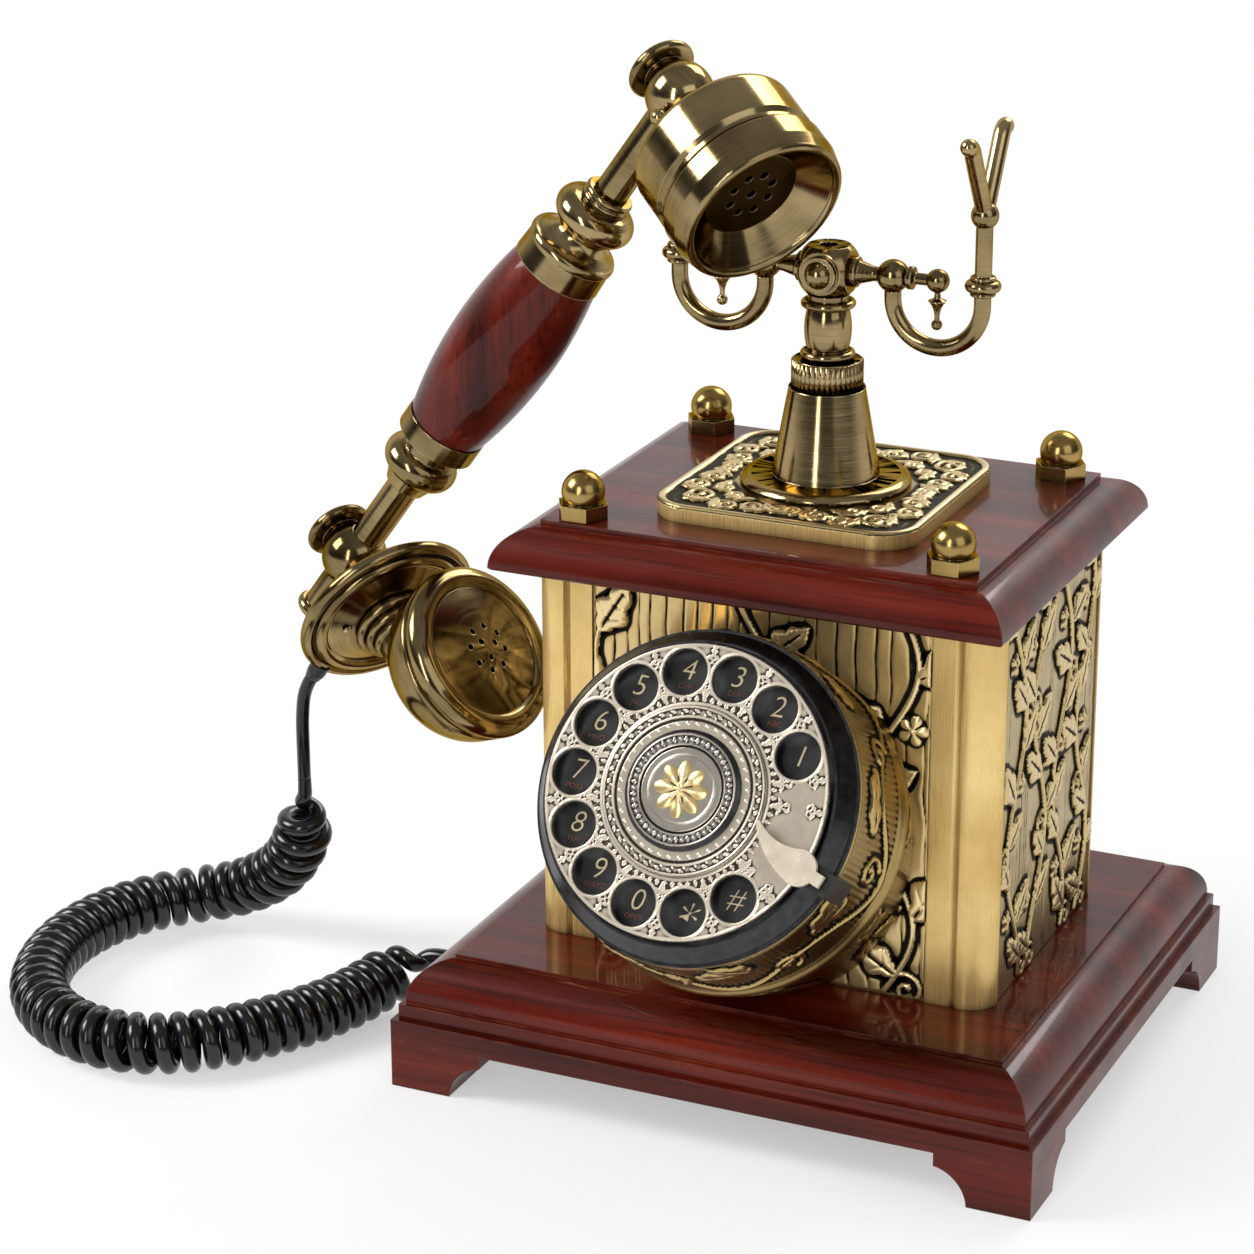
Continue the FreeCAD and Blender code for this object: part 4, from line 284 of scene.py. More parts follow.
def relief_metal(name, patina, ground, ridge, rough=0.28, metallic=1.0):
    """Cast metal: painted shade with dark patina in the recesses round what stands proud, bright metal on the
    heights.
    """
    shader = Shader(name)
    grime = shader.noise(260.0, 6.0)
    speck = shader.math("MULTIPLY", shader.math("SUBTRACT", grime, 0.5), 0.5)
    metal = shader.ramp(shader.math("ADD", shader.attribute("relief"), speck), [(0.1, ground), (0.75, ridge)])
    # Darkening in the recesses: painted shade together with patina, speckled with grime.
    patina_and_shade = shader.math("ADD", shader.attribute("recess_shade"), speck, clamp=True)
    patina_and_shade = shader.spread(patina_and_shade, 0.18, 0.62, 0.0, 1.0)
    shader.colour(shader.mix(patina_and_shade, metal, patina))
    shader.rough(shader.spread(patina_and_shade, 0.0, 1.0, rough, 0.6))
    shader.bump(grime, 0.15, 0.0002)
    shader.set(Metallic=metallic)
    return shader.material


def satin(name, colour, roughness, metallic=0.0, speck=0.25, coat=0.0):
    """A plain satin surface with a fine mottle."""
    shader = Shader(name)
    mottle = shader.noise(320.0, 3.0)
    low = tuple(value * (1 - speck) for value in colour)
    high = tuple(min(1.0, value * (1 + speck)) for value in colour)
    shader.colour(shader.ramp(mottle, [(0.3, low), (0.7, high)]))
    shader.rough(shader.spread(mottle, 0.3, 0.7, roughness * 0.85, roughness * 1.15))
    shader.bump(mottle, 0.05, 0.0001, rounded=0.0003)
    shader.set(Metallic=metallic, Coat_Weight=coat, Coat_Roughness=0.08)
    return shader.material


# Dark brown of the brass's corners: painted shade together with patina.
PATINA_AND_CORNER_SHADE = (0.02, 0.013, 0.006)
WOOD_X = mahogany("mahogany_across", 0)
WOOD_Z = mahogany("mahogany_upright", 2)
UPRIGHT, ACROSS = Vector((0, 0, 1)), Vector((1, 0, 0))
BRASS_TONES = ((0.15, 0.105, 0.045), (0.47, 0.355, 0.18), (0.88, 0.73, 0.46))
BRASS_UP = antique_brass("brass_upright", UPRIGHT, *BRASS_TONES, 0.14, 0.4)
BRASS_ACROSS = antique_brass("brass_across", ACROSS, *BRASS_TONES, 0.13, 0.2)
BRASS_HANDLE = antique_brass("brass_handle", HANDSET.to_3x3().col[2], *BRASS_TONES, 0.13, 0.3)
BRASS_EAR = antique_brass("brass_ear", HANDSET.to_3x3().col[0], *BRASS_TONES, 0.14, 0.5)
BRASS_BELL = antique_brass("brass_bell", BELL.to_3x3().col[2], *BRASS_TONES, 0.14, 0.5)
GRILLE_BRASS = antique_brass("grille_brass", HANDSET.to_3x3().col[0], (0.04, 0.028, 0.012),
                             (0.14, 0.10, 0.045), (0.5, 0.4, 0.24), 0.28, 0.0)
GOLD = antique_brass("gold_brass", ACROSS, (0.64, 0.43, 0.15), (0.90, 0.66, 0.28), (0.98, 0.82, 0.47),
                     0.3, 0.0, metallic=0.65)
NUT_BRASS = antique_brass("nut_brass", UPRIGHT, (0.24, 0.155, 0.045), (0.45, 0.31, 0.11), (0.85, 0.66, 0.33),
                          0.22, 0.0)
RELIEF = relief_metal("relief_brass", (0.006, 0.004, 0.002), (0.60, 0.43, 0.17), (0.92, 0.72, 0.37),
                      metallic=0.75)
BRONZE = relief_metal("relief_bronze", (0.022, 0.015, 0.006), (0.34, 0.25, 0.105), (0.66, 0.50, 0.24))
DRUM_BRASS = relief_metal("drum_brass", (0.006, 0.004, 0.002), (0.27, 0.185, 0.06), (0.55, 0.40, 0.16))
SILVER = relief_metal("dial_pewter", (0.02, 0.016, 0.011), (0.37, 0.315, 0.24), (0.68, 0.595, 0.475),
                      metallic=0.5)
CHAMPAGNE = satin("champagne_metal", (0.72, 0.635, 0.49), 0.25, metallic=0.35, speck=0.06)
DIAL_SLATE = relief_metal("dial_slate", (0.02, 0.019, 0.018), (0.27, 0.25, 0.23), (0.62, 0.56, 0.47))
PEWTER = satin("pewter", (0.66, 0.60, 0.51), 0.3, metallic=1.0, speck=0.12)
SLATE = satin("slate_metal", (0.055, 0.055, 0.058), 0.3, metallic=1.0)
BLACK = satin("satin_black", (0.012, 0.012, 0.012), 0.38)
CORD_BLACK = satin("cord_jacket", (0.004, 0.004, 0.005), 0.2, coat=0.1)
STEEL = satin("plain_steel", (0.5, 0.5, 0.5), 0.35, metallic=1.0)
BOARD_GREEN = satin("solder_mask", (0.02, 0.14, 0.06), 0.4)
LETTER_RED = satin("letter_red", (0.30, 0.10, 0.04), 0.5, speck=0.08)
DIGIT_GOLD = satin("digit_gold", (0.72, 0.60, 0.36), 0.4, speck=0.08)

NODE_MATERIALS = {
    WOOD_X: ("base_board", "base_frame", "top_cap", "bracket_feet"),
    WOOD_Z: ("grip",),
    BRASS_UP: ("cradle_cone", "cradle_column", "cradle_hub", "cradle_drops", "fork_left", "fork_right",
               "knurled_collar"),
    BRASS_ACROSS: ("cradle_arms",),
    BRASS_HANDLE: ("ear_joint", "handset_tube", "upper_ferrule", "lower_ferrule", "mouth_joint"),
    BRASS_EAR: ("ear_can", "ear_cap", "mouth_disc"),
    BRASS_BELL: ("mouth_bell", "mouth_grille"),
    GOLD: ("corner_posts", "front_panel", "back_panel", "left_panel", "right_panel", "cradle_plate",
           "dial_housing", "dial_gear", "pulse_gear"),
    NUT_BRASS: ("acorn_nuts",),
    GRILLE_BRASS: ("ear_grille",),
    SLATE: ("centre_cap", "dial_bezel"),
    PEWTER: ("finger_wheel",),
    CHAMPAGNE: ("finger_stop",),
    BLACK: ("number_plate", "stop_bracket", "cord_sockets", "hook_switch", "receiver_capsule", "microphone",
            "cord_plug", "cord_gland", "ringer_sounder", "bottom_cover"),
    STEEL: ("cover_screws", "tie_rods", "rod_nuts", "plunger", "plunger_spring", "dial_shaft", "hook_lever",
            "mechanism_plate"),
    BOARD_GREEN: ("circuit_board",),
    CORD_BLACK: ("cord_lead", "cord_coil"),
}
for material, names in NODE_MATERIALS.items():
    for node_name in names:
        mesh = NODES[node_name].data
        mesh.materials.clear()
        mesh.materials.append(material)


def in_scene(name, data):
    obj = bpy.data.objects.new(name, data)
    bpy.context.scene.collection.objects.link(obj)
    return obj


def smooth_mesh(name, mesh, material):
    mesh.materials.append(material)
    mesh.polygons.foreach_set("use_smooth", [True] * len(mesh.polygons))
    return in_scene(name, mesh)


def piece(name, mesh, material, body, matrix=Matrix()):
    """Add a mesh to the scene as a piece that rides on a body."""
    obj = smooth_mesh(name, mesh, material)
    obj.matrix_world = matrix
    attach(obj, body)


# Curly cord
def route_points(points):
    """Close points of the smooth curve that the control points pull on, and the distances along it."""
    curve = bpy.data.curves.new("route", "CURVE")
    curve.dimensions = "3D"
    curve.resolution_u = 32
    spline = curve.splines.new("NURBS")
    spline.points.add(len(points) - 1)
    for control, point in zip(spline.points, points):
        control.co = (*point, 1)
    spline.order_u = 3
    spline.use_endpoint_u = True
    holder = in_scene("route", curve)
    bpy.context.view_layer.update()
    mesh = bpy.data.meshes.new_from_object(holder.evaluated_get(bpy.context.evaluated_depsgraph_get()))
    line = np.array([vertex.co for vertex in mesh.vertices])
    bpy.data.objects.remove(holder)
    bpy.data.curves.remove(curve)
    bpy.data.meshes.remove(mesh)
    return line, np.concatenate([[0.0], np.cumsum(np.linalg.norm(np.diff(line, axis=0), axis=1))])


def along_route(line, distance, wanted):
    """The route's points at the wanted distances."""
    return np.stack([np.interp(wanted, distance, line[:, axis]) for axis in range(3)], axis=1)


def curl_line(points):
    """The cord's own line: curls about the route that open after a straight start and close at the end."""
    line, distance = route_points(points)
    length, straight = distance[-1], 2 * WIRE_RADIUS
    places, opened, turn = [], [], []
    along, angle = 0.0, 0.0
    while along < length - CURL_SPACING / STEPS_PER_TURN:
        share = min(max((min(along, length - along) - straight) / CURL_EASE, 0.0), 1.0)
        opening = share * share * (3 - 2 * share)
        places.append(along)
        opened.append(opening * CURL_RADIUS)
        turn.append(angle)
        pitch = CURL_SPACING / (1 - CURL_RADIUS * route_bend(line, distance, along))
        along += pitch / STEPS_PER_TURN / (LAZY_TURN + (1 - LAZY_TURN) * opening)
        angle += 2 * math.pi / STEPS_PER_TURN
    middle = along_route(line, distance, np.array(places + [length]))
    ahead = np.gradient(middle, axis=0)
    ahead /= np.linalg.norm(ahead, axis=1)[:, None]
    side = np.array([1.0, 0.0, 0.0])
    curls = []
    for spot, way, radius, phase in zip(middle, ahead, opened + [0.0], turn + [angle]):
        side = side - way * side.dot(way)
        side /= np.linalg.norm(side)
        curls.append(spot + (side * math.cos(phase) + np.cross(way, side) * math.sin(phase)) * radius)
    return np.array(curls)


def route_bend(line, distance, along):
    """Curvature of the route at a distance, from three points a curl apart."""
    before, here, after = along_route(line, distance, along + 2 * CURL_RADIUS * np.array([-1.0, 0.0, 1.0]))
    sides = [np.linalg.norm(part) for part in (here - before, after - here, after - before)]
    return 2 * np.linalg.norm(np.cross(here - before, after - before)) / max(math.prod(sides), 1e-12)


def tube_mesh(name, line, radii, sides=16):
    """A round tube along a line of points with a radius at each, closed at both ends."""
    ahead = np.gradient(line, axis=0)
    ahead /= np.linalg.norm(ahead, axis=1)[:, None]
    side = np.cross(ahead[0], [0.0, 0.0, 1.0] if abs(ahead[0][2]) < 0.9 else [1.0, 0.0, 0.0])
    turns = np.linspace(0, 2 * math.pi, sides, endpoint=False)
    rings = []
    for spot, way, radius in zip(line, ahead, radii):
        side = side - way * side.dot(way)
        side /= np.linalg.norm(side)
        other = np.cross(way, side)
        rings.append(spot + radius * (np.outer(np.cos(turns), side) + np.outer(np.sin(turns), other)))
    vertices = np.concatenate(rings)
    faces = []
    for ring in range(len(line) - 1):
        for step in range(sides):
            a, b = ring * sides + step, ring * sides + (step + 1) % sides
            faces.append((a, b, b + sides, a + sides))
    faces.append(tuple(range(sides - 1, -1, -1)))
    last = (len(line) - 1) * sides
    faces.append(tuple(range(last, last + sides)))
    mesh = bpy.data.meshes.new(name)
    mesh.from_pydata(vertices.tolist(), [], faces)
    return mesh


def cord_piece(name, line, radii, node):
    """One stretch of the cord, in place of its CAD node."""
    obj = smooth_mesh(name, tube_mesh(name, line, radii), CORD_BLACK)
    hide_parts(node)
    return obj


def place_cord():
    """The straight lead hangs from the handset and the curls lie from its end to the plug."""
    lead = [BASE + Vector(point) * MM for point in LEAD_POINTS]
    line, distance = route_points([GLAND_END, LEAD_START, *lead])
    line = along_route(line, distance, np.linspace(0, distance[-1], 60))
    straight = cord_piece("cord_straight", line, np.full(len(line), LEAD_RADIUS), "cord_lead")
    line = curl_line([lead[-1]] + [BASE + Vector(point) * MM for point in COIL_POINTS])
    thicker = np.clip(np.arange(len(line)) / STEPS_PER_TURN, 0, 1)
    radii = LEAD_RADIUS + (WIRE_RADIUS - LEAD_RADIUS) * thicker
    curls = cord_piece("cord_curls", line, radii, "cord_coil")
    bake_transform(straight)
    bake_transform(curls)


place_cord()


# Cast relief: a height map in millimetres, raised by stems, leaves and blossoms
class Relief:
    def __init__(self, width, height, step):
        across = np.linspace(-width / 2, width / 2, round(width / step) + 1)
        upward = np.linspace(-height / 2, height / 2, round(height / step) + 1)
        self.x, self.y = np.meshgrid(across, upward)
        self.height = np.zeros_like(self.x)

    def near(self, x, y, reach):
        """Index ranges of the map within reach of a place."""
        columns = np.searchsorted(self.x[0], (x - reach, x + reach))
        rows = np.searchsorted(self.y[:, 0], (y - reach, y + reach))
        return slice(*rows), slice(*columns)

    def raise_to(self, part, height):
        self.height[part] = np.maximum(self.height[part], height)

    def stem(self, points, radius, tall):
        """A round stem along points."""
        for (ax, ay), (bx, by) in zip(points, points[1:]):
            dx, dy = bx - ax, by - ay
            part = self.near((ax + bx) / 2, (ay + by) / 2, radius + math.hypot(dx, dy) / 2)
            x, y = self.x[part] - ax, self.y[part] - ay
            share = np.clip((x * dx + y * dy) / (dx * dx + dy * dy), 0, 1)
            away = np.hypot(x - share * dx, y - share * dy) / radius
            self.raise_to(part, tall * np.sqrt(np.clip(1 - away ** 2, 0, 1)))

    def leaf(self, x, y, angle, length, width, tall):
        """A lobed leaf with a flat top, a sunk midrib and side veins, from its stalk at x, y."""
        part = self.near(x, y, length)
        dx, dy = self.x[part] - x, self.y[part] - y
        u = (dx * math.cos(angle) + dy * math.sin(angle)) / length
        v = (dy * math.cos(angle) - dx * math.sin(angle)) / (width / 2)
        inside = np.clip(u, 0, 1)
        lobes = 0.68 + 0.32 * np.abs(np.cos(2.6 * math.pi * inside))
        edge = np.sin(math.pi * inside ** 0.75) * lobes + 0.001
        body = np.clip(1 - (v / edge) ** 4, 0, 1) * (u > 0) * (u < 1)
        slanted = np.sin((u * 4 - np.abs(v) * 0.9) * math.pi)
        veins = np.exp(-(v / 0.1) ** 2) + 0.5 * np.exp(-(slanted / 0.25) ** 2)
        self.raise_to(part, tall * np.sqrt(body) * (1 - 0.4 * np.clip(veins, 0, 1) * (1 - 0.5 * inside)))

    def blossom(self, x, y, radius, petals, tall):
        """A round flower with a raised heart."""
        part = self.near(x, y, radius)
        dx, dy = self.x[part] - x, self.y[part] - y
        away, wave = np.hypot(dx, dy) / radius, np.abs(np.cos(np.arctan2(dy, dx) * petals / 2))
        body = np.sqrt(np.clip(1 - (away / (0.7 + 0.3 * wave)) ** 2, 0, 1)) * (0.5 + 0.5 * wave)
        self.raise_to(part, tall * np.maximum(body, 1.2 * np.exp(-(away / 0.25) ** 2)))

    def scroll(self, x, y, angle, radius, turns, side, thick, tall):
        """A stem that rolls in from x, y, setting out along angle and curling to one side."""
        centre_x, centre_y = x - side * radius * math.sin(angle), y + side * radius * math.cos(angle)
        points = []
        for share in np.linspace(0, 1, 26):
            reach = radius * (1 - 0.8 * share)
            turn = angle - side * math.pi / 2 + side * 2 * math.pi * turns * share
            points.append((centre_x + reach * math.cos(turn), centre_y + reach * math.sin(turn)))
        self.stem(points, thick, tall)
        self.blossom(*points[-1], thick * 1.7, 5, tall * 1.1)

    def bead(self, x, y, radius, tall):
        part = self.near(x, y, radius)
        away = np.hypot(self.x[part] - x, self.y[part] - y) / radius
        self.raise_to(part, tall * np.sqrt(np.clip(1 - away ** 2, 0, 1)))


def soften(height, cells):
    """A height map averaged over a square of cells, twice."""
    width = 2 * cells + 1
    for axis in (0, 1, 0, 1):
        margins = [(cells + 1, cells) if side == axis else (0, 0) for side in (0, 1)]
        sums = np.cumsum(np.pad(height, margins, mode="edge"), axis=axis)
        ahead = np.take(sums, range(width, sums.shape[axis]), axis=axis)
        height = (ahead - np.take(sums, range(sums.shape[axis] - width), axis=axis)) / width
    return height


def relief_piece(name, relief, place, keep, material, body, full=1.0, cells=3, patina_and_shade=3.0):
    """The skin of a height map; place turns its x, y and height into points of the scene.

    Two attributes colour it: relief is the height as a share of full, the other how far a place lies below
    its neighbourhood, which the material darkens as painted shade together with patina.
    """
    rows, columns = relief.x.shape
    index = np.arange(rows * columns).reshape(rows, columns)
    quads = np.stack([index[:-1, :-1], index[:-1, 1:], index[1:, 1:], index[1:, :-1]], axis=-1).reshape(-1, 4)
    quads = quads[keep.ravel()[quads].all(axis=1)]
    used, faces = np.unique(quads, return_inverse=True)
    points = place(relief.x.ravel()[used], relief.y.ravel()[used], relief.height.ravel()[used])
    mesh = bpy.data.meshes.new(name)
    mesh.from_pydata(np.stack(points, axis=1).tolist(), [], faces.reshape(-1, 4).tolist())
    # How far each place lies below its neighbourhood, darkened by the material as painted shade with patina.
    recess_shade = np.clip((soften(relief.height, cells) - relief.height) * patina_and_shade / full, 0, 1)
    for key, values in (("relief", relief.height / full), ("recess_shade", recess_shade)):
        level = mesh.attributes.new(key, "FLOAT", "POINT")
        level.data.foreach_set("value", values.ravel()[used].astype(np.float32))
    piece(name, mesh, material, body)


def fluted_ground(relief, chance, narrow, wide, tall):
    """Upright flutes of uneven width with sunk gaps between them."""
    across = relief.x[0]
    profile = np.zeros_like(across)
    left = across[0]
    while left < across[-1]:
        right = left + chance.uniform(narrow, wide)
        share = np.clip((across - left) / (right - left), 0, 1)
        crown = chance.uniform(0.75, 1.0) * (1 - (2 * share - 1) ** 8)
        profile = np.where((across >= left) & (across < right), crown, profile)
        left = right
    waver = 0.5 * np.sin(relief.y / 9) + 0.3 * np.sin(relief.y / 3.1)
    return tall * np.interp(relief.x + waver, across, profile)


VINE_STEPS = 44


def vine_panel(width, height, stems, leaf, ground, seed):
    """Swaying stems with leaves, tendrils and blossoms on a fluted ground that sinks beside them."""
    relief = Relief(width, height, 0.4)
    chance = random.Random(seed)
    for share in stems:
        phase, sway = chance.uniform(0, 6.3), width * 0.08
        path = [(share * width + sway * math.sin(phase + 9 * climb), (climb - 0.5) * (height - 3))
                for climb in (step / VINE_STEPS for step in range(VINE_STEPS + 1))]
        relief.stem(path, 0.9, 1.2)
        stride = round(leaf / 2.6)
        for count, step in enumerate(range(2, VINE_STEPS - 1, stride)):
            x, y = path[step]
            side = 1 if count % 2 else -1
            tilt = math.pi / 2 - side * chance.uniform(0.5, 1.1)
            size = leaf * chance.uniform(0.9, 1.25)
            relief.leaf(x, y, tilt, size, size * 0.62, 1.4)
            if count % 3 == 0:
                relief.scroll(x, y, math.pi / 2 + side * 0.9, leaf * 0.3, 1.2, side, 0.7, 1.0)
            elif count % 3 == 1:
                relief.blossom(x - side * leaf * 0.45, y + 3, leaf * 0.27, 5, 1.25)
    beside = np.clip(soften(relief.height, 4) * 3, 0, 1)
    relief.height = np.maximum(relief.height, fluted_ground(relief, chance, *ground) * (1 - beside))
    border = np.minimum(width / 2 - np.abs(relief.x), height / 2 - np.abs(relief.y))
    relief.height = np.where(border < 0.5, -0.05, relief.height)
    return relief


def place_panels():
    """Relief on the four sides of the cabinet, standing on the panels' faces."""
    broad, fine = (3.2, 6.5, 0.45), (1.2, 1.9, 0.3)
    for name, across, out, stems, leaf, ground, seed, material in (
            ("front", 0, -1, (-0.41, 0.0, 0.38), 18.0, broad, 5, RELIEF),
            ("back", 0, 1, (-0.34, 0.0, 0.34), 15.0, broad, 8, RELIEF),
            ("left", 1, -1, (-0.36, -0.12, 0.12, 0.36), 14.0, fine, 11, BRONZE),
            ("right", 1, 1, (-0.36, -0.12, 0.12, 0.36), 14.0, fine, 3, BRONZE)):
        low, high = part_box(f"{name}_panel")
        middle = (low + high) / 2
        wide, tall = (high[across] - low[across]) / MM, (high.z - low.z) / MM
        relief = vine_panel(wide, tall, stems, leaf, ground, seed)
        face = (low if out < 0 else high)[1 - across]

        def place(x, y, height, middle=middle, face=face, across=across, out=out):
            flat, deep = middle[across] + x * MM, face + out * height * MM
            return (flat, deep, middle.z + y * MM) if across == 0 else (deep, flat, middle.z + y * MM)

        relief_piece(f"{name}_relief", relief, place, np.ones_like(relief.x, bool), material, "base",
                     patina_and_shade=5.5)


place_panels()


def frame_points(matrix, x, y, z):
    """Points of the scene from millimetres in a frame of their own."""
    points = np.stack([x, y, z]) * MM
    return tuple(np.array(matrix.to_3x3()) @ points + np.array(matrix.translation)[:, None])


def dial_points(x, y, z):
    return frame_points(DIAL, x, y, z)


DRUM_DEPTHS = (10.4, 28.7, 37.5, 39.5, 41.0, 42.5, 44.5, 91.0)
DRUM_RADII = (47.55, 48.4, 49.8, 50.7, 51.0, 50.7, 49.8, 43.15)


def place_drum():
    """Leaves and stems round the dial drum, between its front edge and the cabinet."""
    around, deep = 310.0, 80.0
    relief = Relief(around, deep, 0.5)
    chance = random.Random(21)
    for step in range(18):
        x = (step / 18 - 0.5) * around
        for row, lean in ((29.0, 0.5), (8.0, -0.6), (-20.0, 0.8)):
            angle = chance.uniform(-0.4, 0.4) + (lean if step % 2 else math.pi - lean)
            relief.leaf(x + chance.uniform(-3, 3), row, angle, chance.uniform(13, 18),
                        chance.uniform(7, 10), 1.1)
        if step % 2 == 0:
            relief.scroll(x + 8, 18.0, 0.3, 5.0, 1.2, 1, 0.9, 1.0)
    wave = [(x, 20 + 5 * math.sin(x / 8)) for x in np.arange(-around / 2, around / 2, 2.0)]
    relief.stem(wave, 1.0, 1.0)
    bead_place = deep / 2 + DRUM_DEPTHS[0] - DRUM_DEPTHS[4]
    plain = np.abs(relief.y - bead_place) < 4.2
    relief.height = np.where(plain, 0.35, relief.height)
    relief.height = np.maximum(relief.height, 0.12 + 0.06 * np.cos(relief.x * 3.2))
    depth = deep / 2 - relief.y + DRUM_DEPTHS[0]
    ends = (depth < DRUM_DEPTHS[0] + 0.6) | (depth > DRUM_DEPTHS[-1] - 0.6)
    relief.height = np.where(ends, -0.1, relief.height)

    def place(x, y, height):
        turn, back = x / around * 2 * math.pi, deep / 2 - y + DRUM_DEPTHS[0]
        radius = np.interp(back, DRUM_DEPTHS, DRUM_RADII) + height
        return dial_points(radius * np.cos(turn), radius * np.sin(turn), -back)

    x, y, z = place(relief.x.ravel(), relief.y.ravel(), relief.height.ravel())
    panel_face, board_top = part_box("front_panel")[0].y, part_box("base_board")[1].z
    keep = ((y < panel_face) & (z > board_top)).reshape(relief.x.shape)
    relief_piece("drum_relief", relief, place, keep, DRUM_BRASS, "base", patina_and_shade=4.5)


place_drum()


def place_cradle_plate():
    """Scrollwork inside a raised border on the cradle plate."""
    low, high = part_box("cradle_plate")
    middle, side, corner = (low + high) / 2, (high.x - low.x) / MM, 12.0
    relief = Relief(side, side, 0.35)
    edge = np.hypot(np.maximum(np.abs(relief.x) - side / 2 + corner, 0),
                    np.maximum(np.abs(relief.y) - side / 2 + corner, 0))
    border = np.minimum(corner - edge, side / 2 - np.maximum(np.abs(relief.x), np.abs(relief.y)))
    away = np.hypot(relief.x, relief.y)
    for quarter in range(4):
        for spread, radius, sign, reach in (
                (0.0, 5.2, 1, 44.0), (0.26, 4.2, -1, 41.5), (-0.26, 4.2, 1, 41.5), (0.5, 3.8, 1, 36.5),
                (-0.5, 3.8, -1, 36.5), (0.7, 3.2, -1, 33.5), (-0.7, 3.2, 1, 33.5), (0.15, 3.0, 1, 33.0),
                (-0.15, 3.0, -1, 33.0)):
            turn = math.pi / 4 + quarter * math.pi / 2 + spread
            x, y = reach * math.cos(turn), reach * math.sin(turn)
            relief.scroll(x, y, turn + sign * 1.9, radius, 1.4, sign, 0.9, 1.0)
            relief.leaf(x, y, turn + math.pi - sign * 0.7, 9.0, 4.6, 0.9)
            relief.leaf(x, y, turn + math.pi + sign * 0.9, 7.0, 3.4, 0.8)
    ground = 0.02 + 0.02 * np.cos(relief.x * 4.1) * np.cos(relief.y * 3.7)
    relief.height = np.maximum(relief.height, ground)
    relief.height = np.maximum(relief.height, np.sqrt(np.clip(1 - ((border - 1.3) / 1.2) ** 2, 0, 1)) * 0.9)
    relief.height = np.where((border < 0.25) | (away < 24.5), -0.08, relief.height)

    def place(x, y, height):
        return middle.x + x * MM, middle.y + y * MM, high.z + height * MM

    relief_piece("cradle_scrollwork", relief, place, border > -0.2, BRONZE, "base",
                 cells=5, patina_and_shade=6.0)


place_cradle_plate()

# Dial face: engraved wheel, ringed centre, rosette and digits
HOLE_CIRCLE, HOLE_RADIUS, HOLE_FIRST, HOLE_STEP = 33.63, 6.6, 26.17, 25.59
DIGITS = "1234567890*#"
WHEEL_RADIUS, HUB_RADIUS, BADGE_RADIUS = 41.6, 24.0, 17.0
HUB_FACE, BADGE_FACE, NUMBER_FACE = 1.0, 2.6, -5.4
DIAL_LETTERS = ("", "ABC", "DEF", "GHI", "JKL", "MNO", "PQRS", "TUV", "WXYZ", "OPER", "", "")
DIGIT_SHIFT = (-1.4, 0.4)
RELIEF_LIFT = 0.25


def hole_places():
    for index in range(len(DIGITS)):
        turn = math.radians(HOLE_FIRST + HOLE_STEP * index)
        yield HOLE_CIRCLE * math.cos(turn), HOLE_CIRCLE * math.sin(turn), turn


def place_wheel():
    """Raised scrolls between the finger holes, with plain rims round the holes and the wheel."""
    relief = Relief(2 * WHEEL_RADIUS, 2 * WHEEL_RADIUS, 0.22)
    away = np.hypot(relief.x, relief.y)
    room = np.minimum(WHEEL_RADIUS - away, away - HUB_RADIUS)
    for x, y, _ in hole_places():
        room = np.minimum(room, np.hypot(relief.x - x, relief.y - y) - HOLE_RADIUS)
    gaps = [math.radians(HOLE_FIRST + HOLE_STEP * (index + 0.5)) for index in range(-1, len(DIGITS))]
    wide = [math.radians(HOLE_FIRST - HOLE_STEP * share) for share in (0.5, 1.0, 2.5)]
    for turn in gaps + wide:
        for reach, sign in ((38.4, 1), (28.6, -1)):
            x, y = reach * math.cos(turn), reach * math.sin(turn)
            relief.leaf(x, y, turn if sign > 0 else turn + math.pi, 3.4, 2.2, 0.3)
            for side in (-1, 1):
                relief.scroll(x, y, turn + side * 1.2, 1.5, 1.0, side * sign, 0.3, 0.26)
                relief.leaf(x, y, turn + side * 2.0, 2.8, 1.5, 0.26)
    for step in range(72):
        turn = step * math.pi / 36
        relief.leaf(25.0 * math.cos(turn), 25.0 * math.sin(turn), turn, 2.0, 1.5, 0.26)
    rim = np.exp(-((room - 0.45) / 0.35) ** 2)
    relief.height = np.maximum(relief.height, 0.12 + 0.12 * rim)
    relief.height = np.where(room < 0.1, -0.05, relief.height)

    relief_piece("wheel_engraving", relief, dial_points, room > -0.2, SILVER, "dial",
                 full=0.3, patina_and_shade=5.0)


def ring_at(away, radius, half_width):
    """One on a circle, falling off to nothing half a width to either side."""
    return np.sqrt(np.clip(1 - ((away - radius) / half_width) ** 2, 0, 1))


def raised_by(face):
    """A place function for relief on a face of the wheel's centre."""
    return lambda x, y, height: dial_points(x, y, height + face + RELIEF_LIFT)


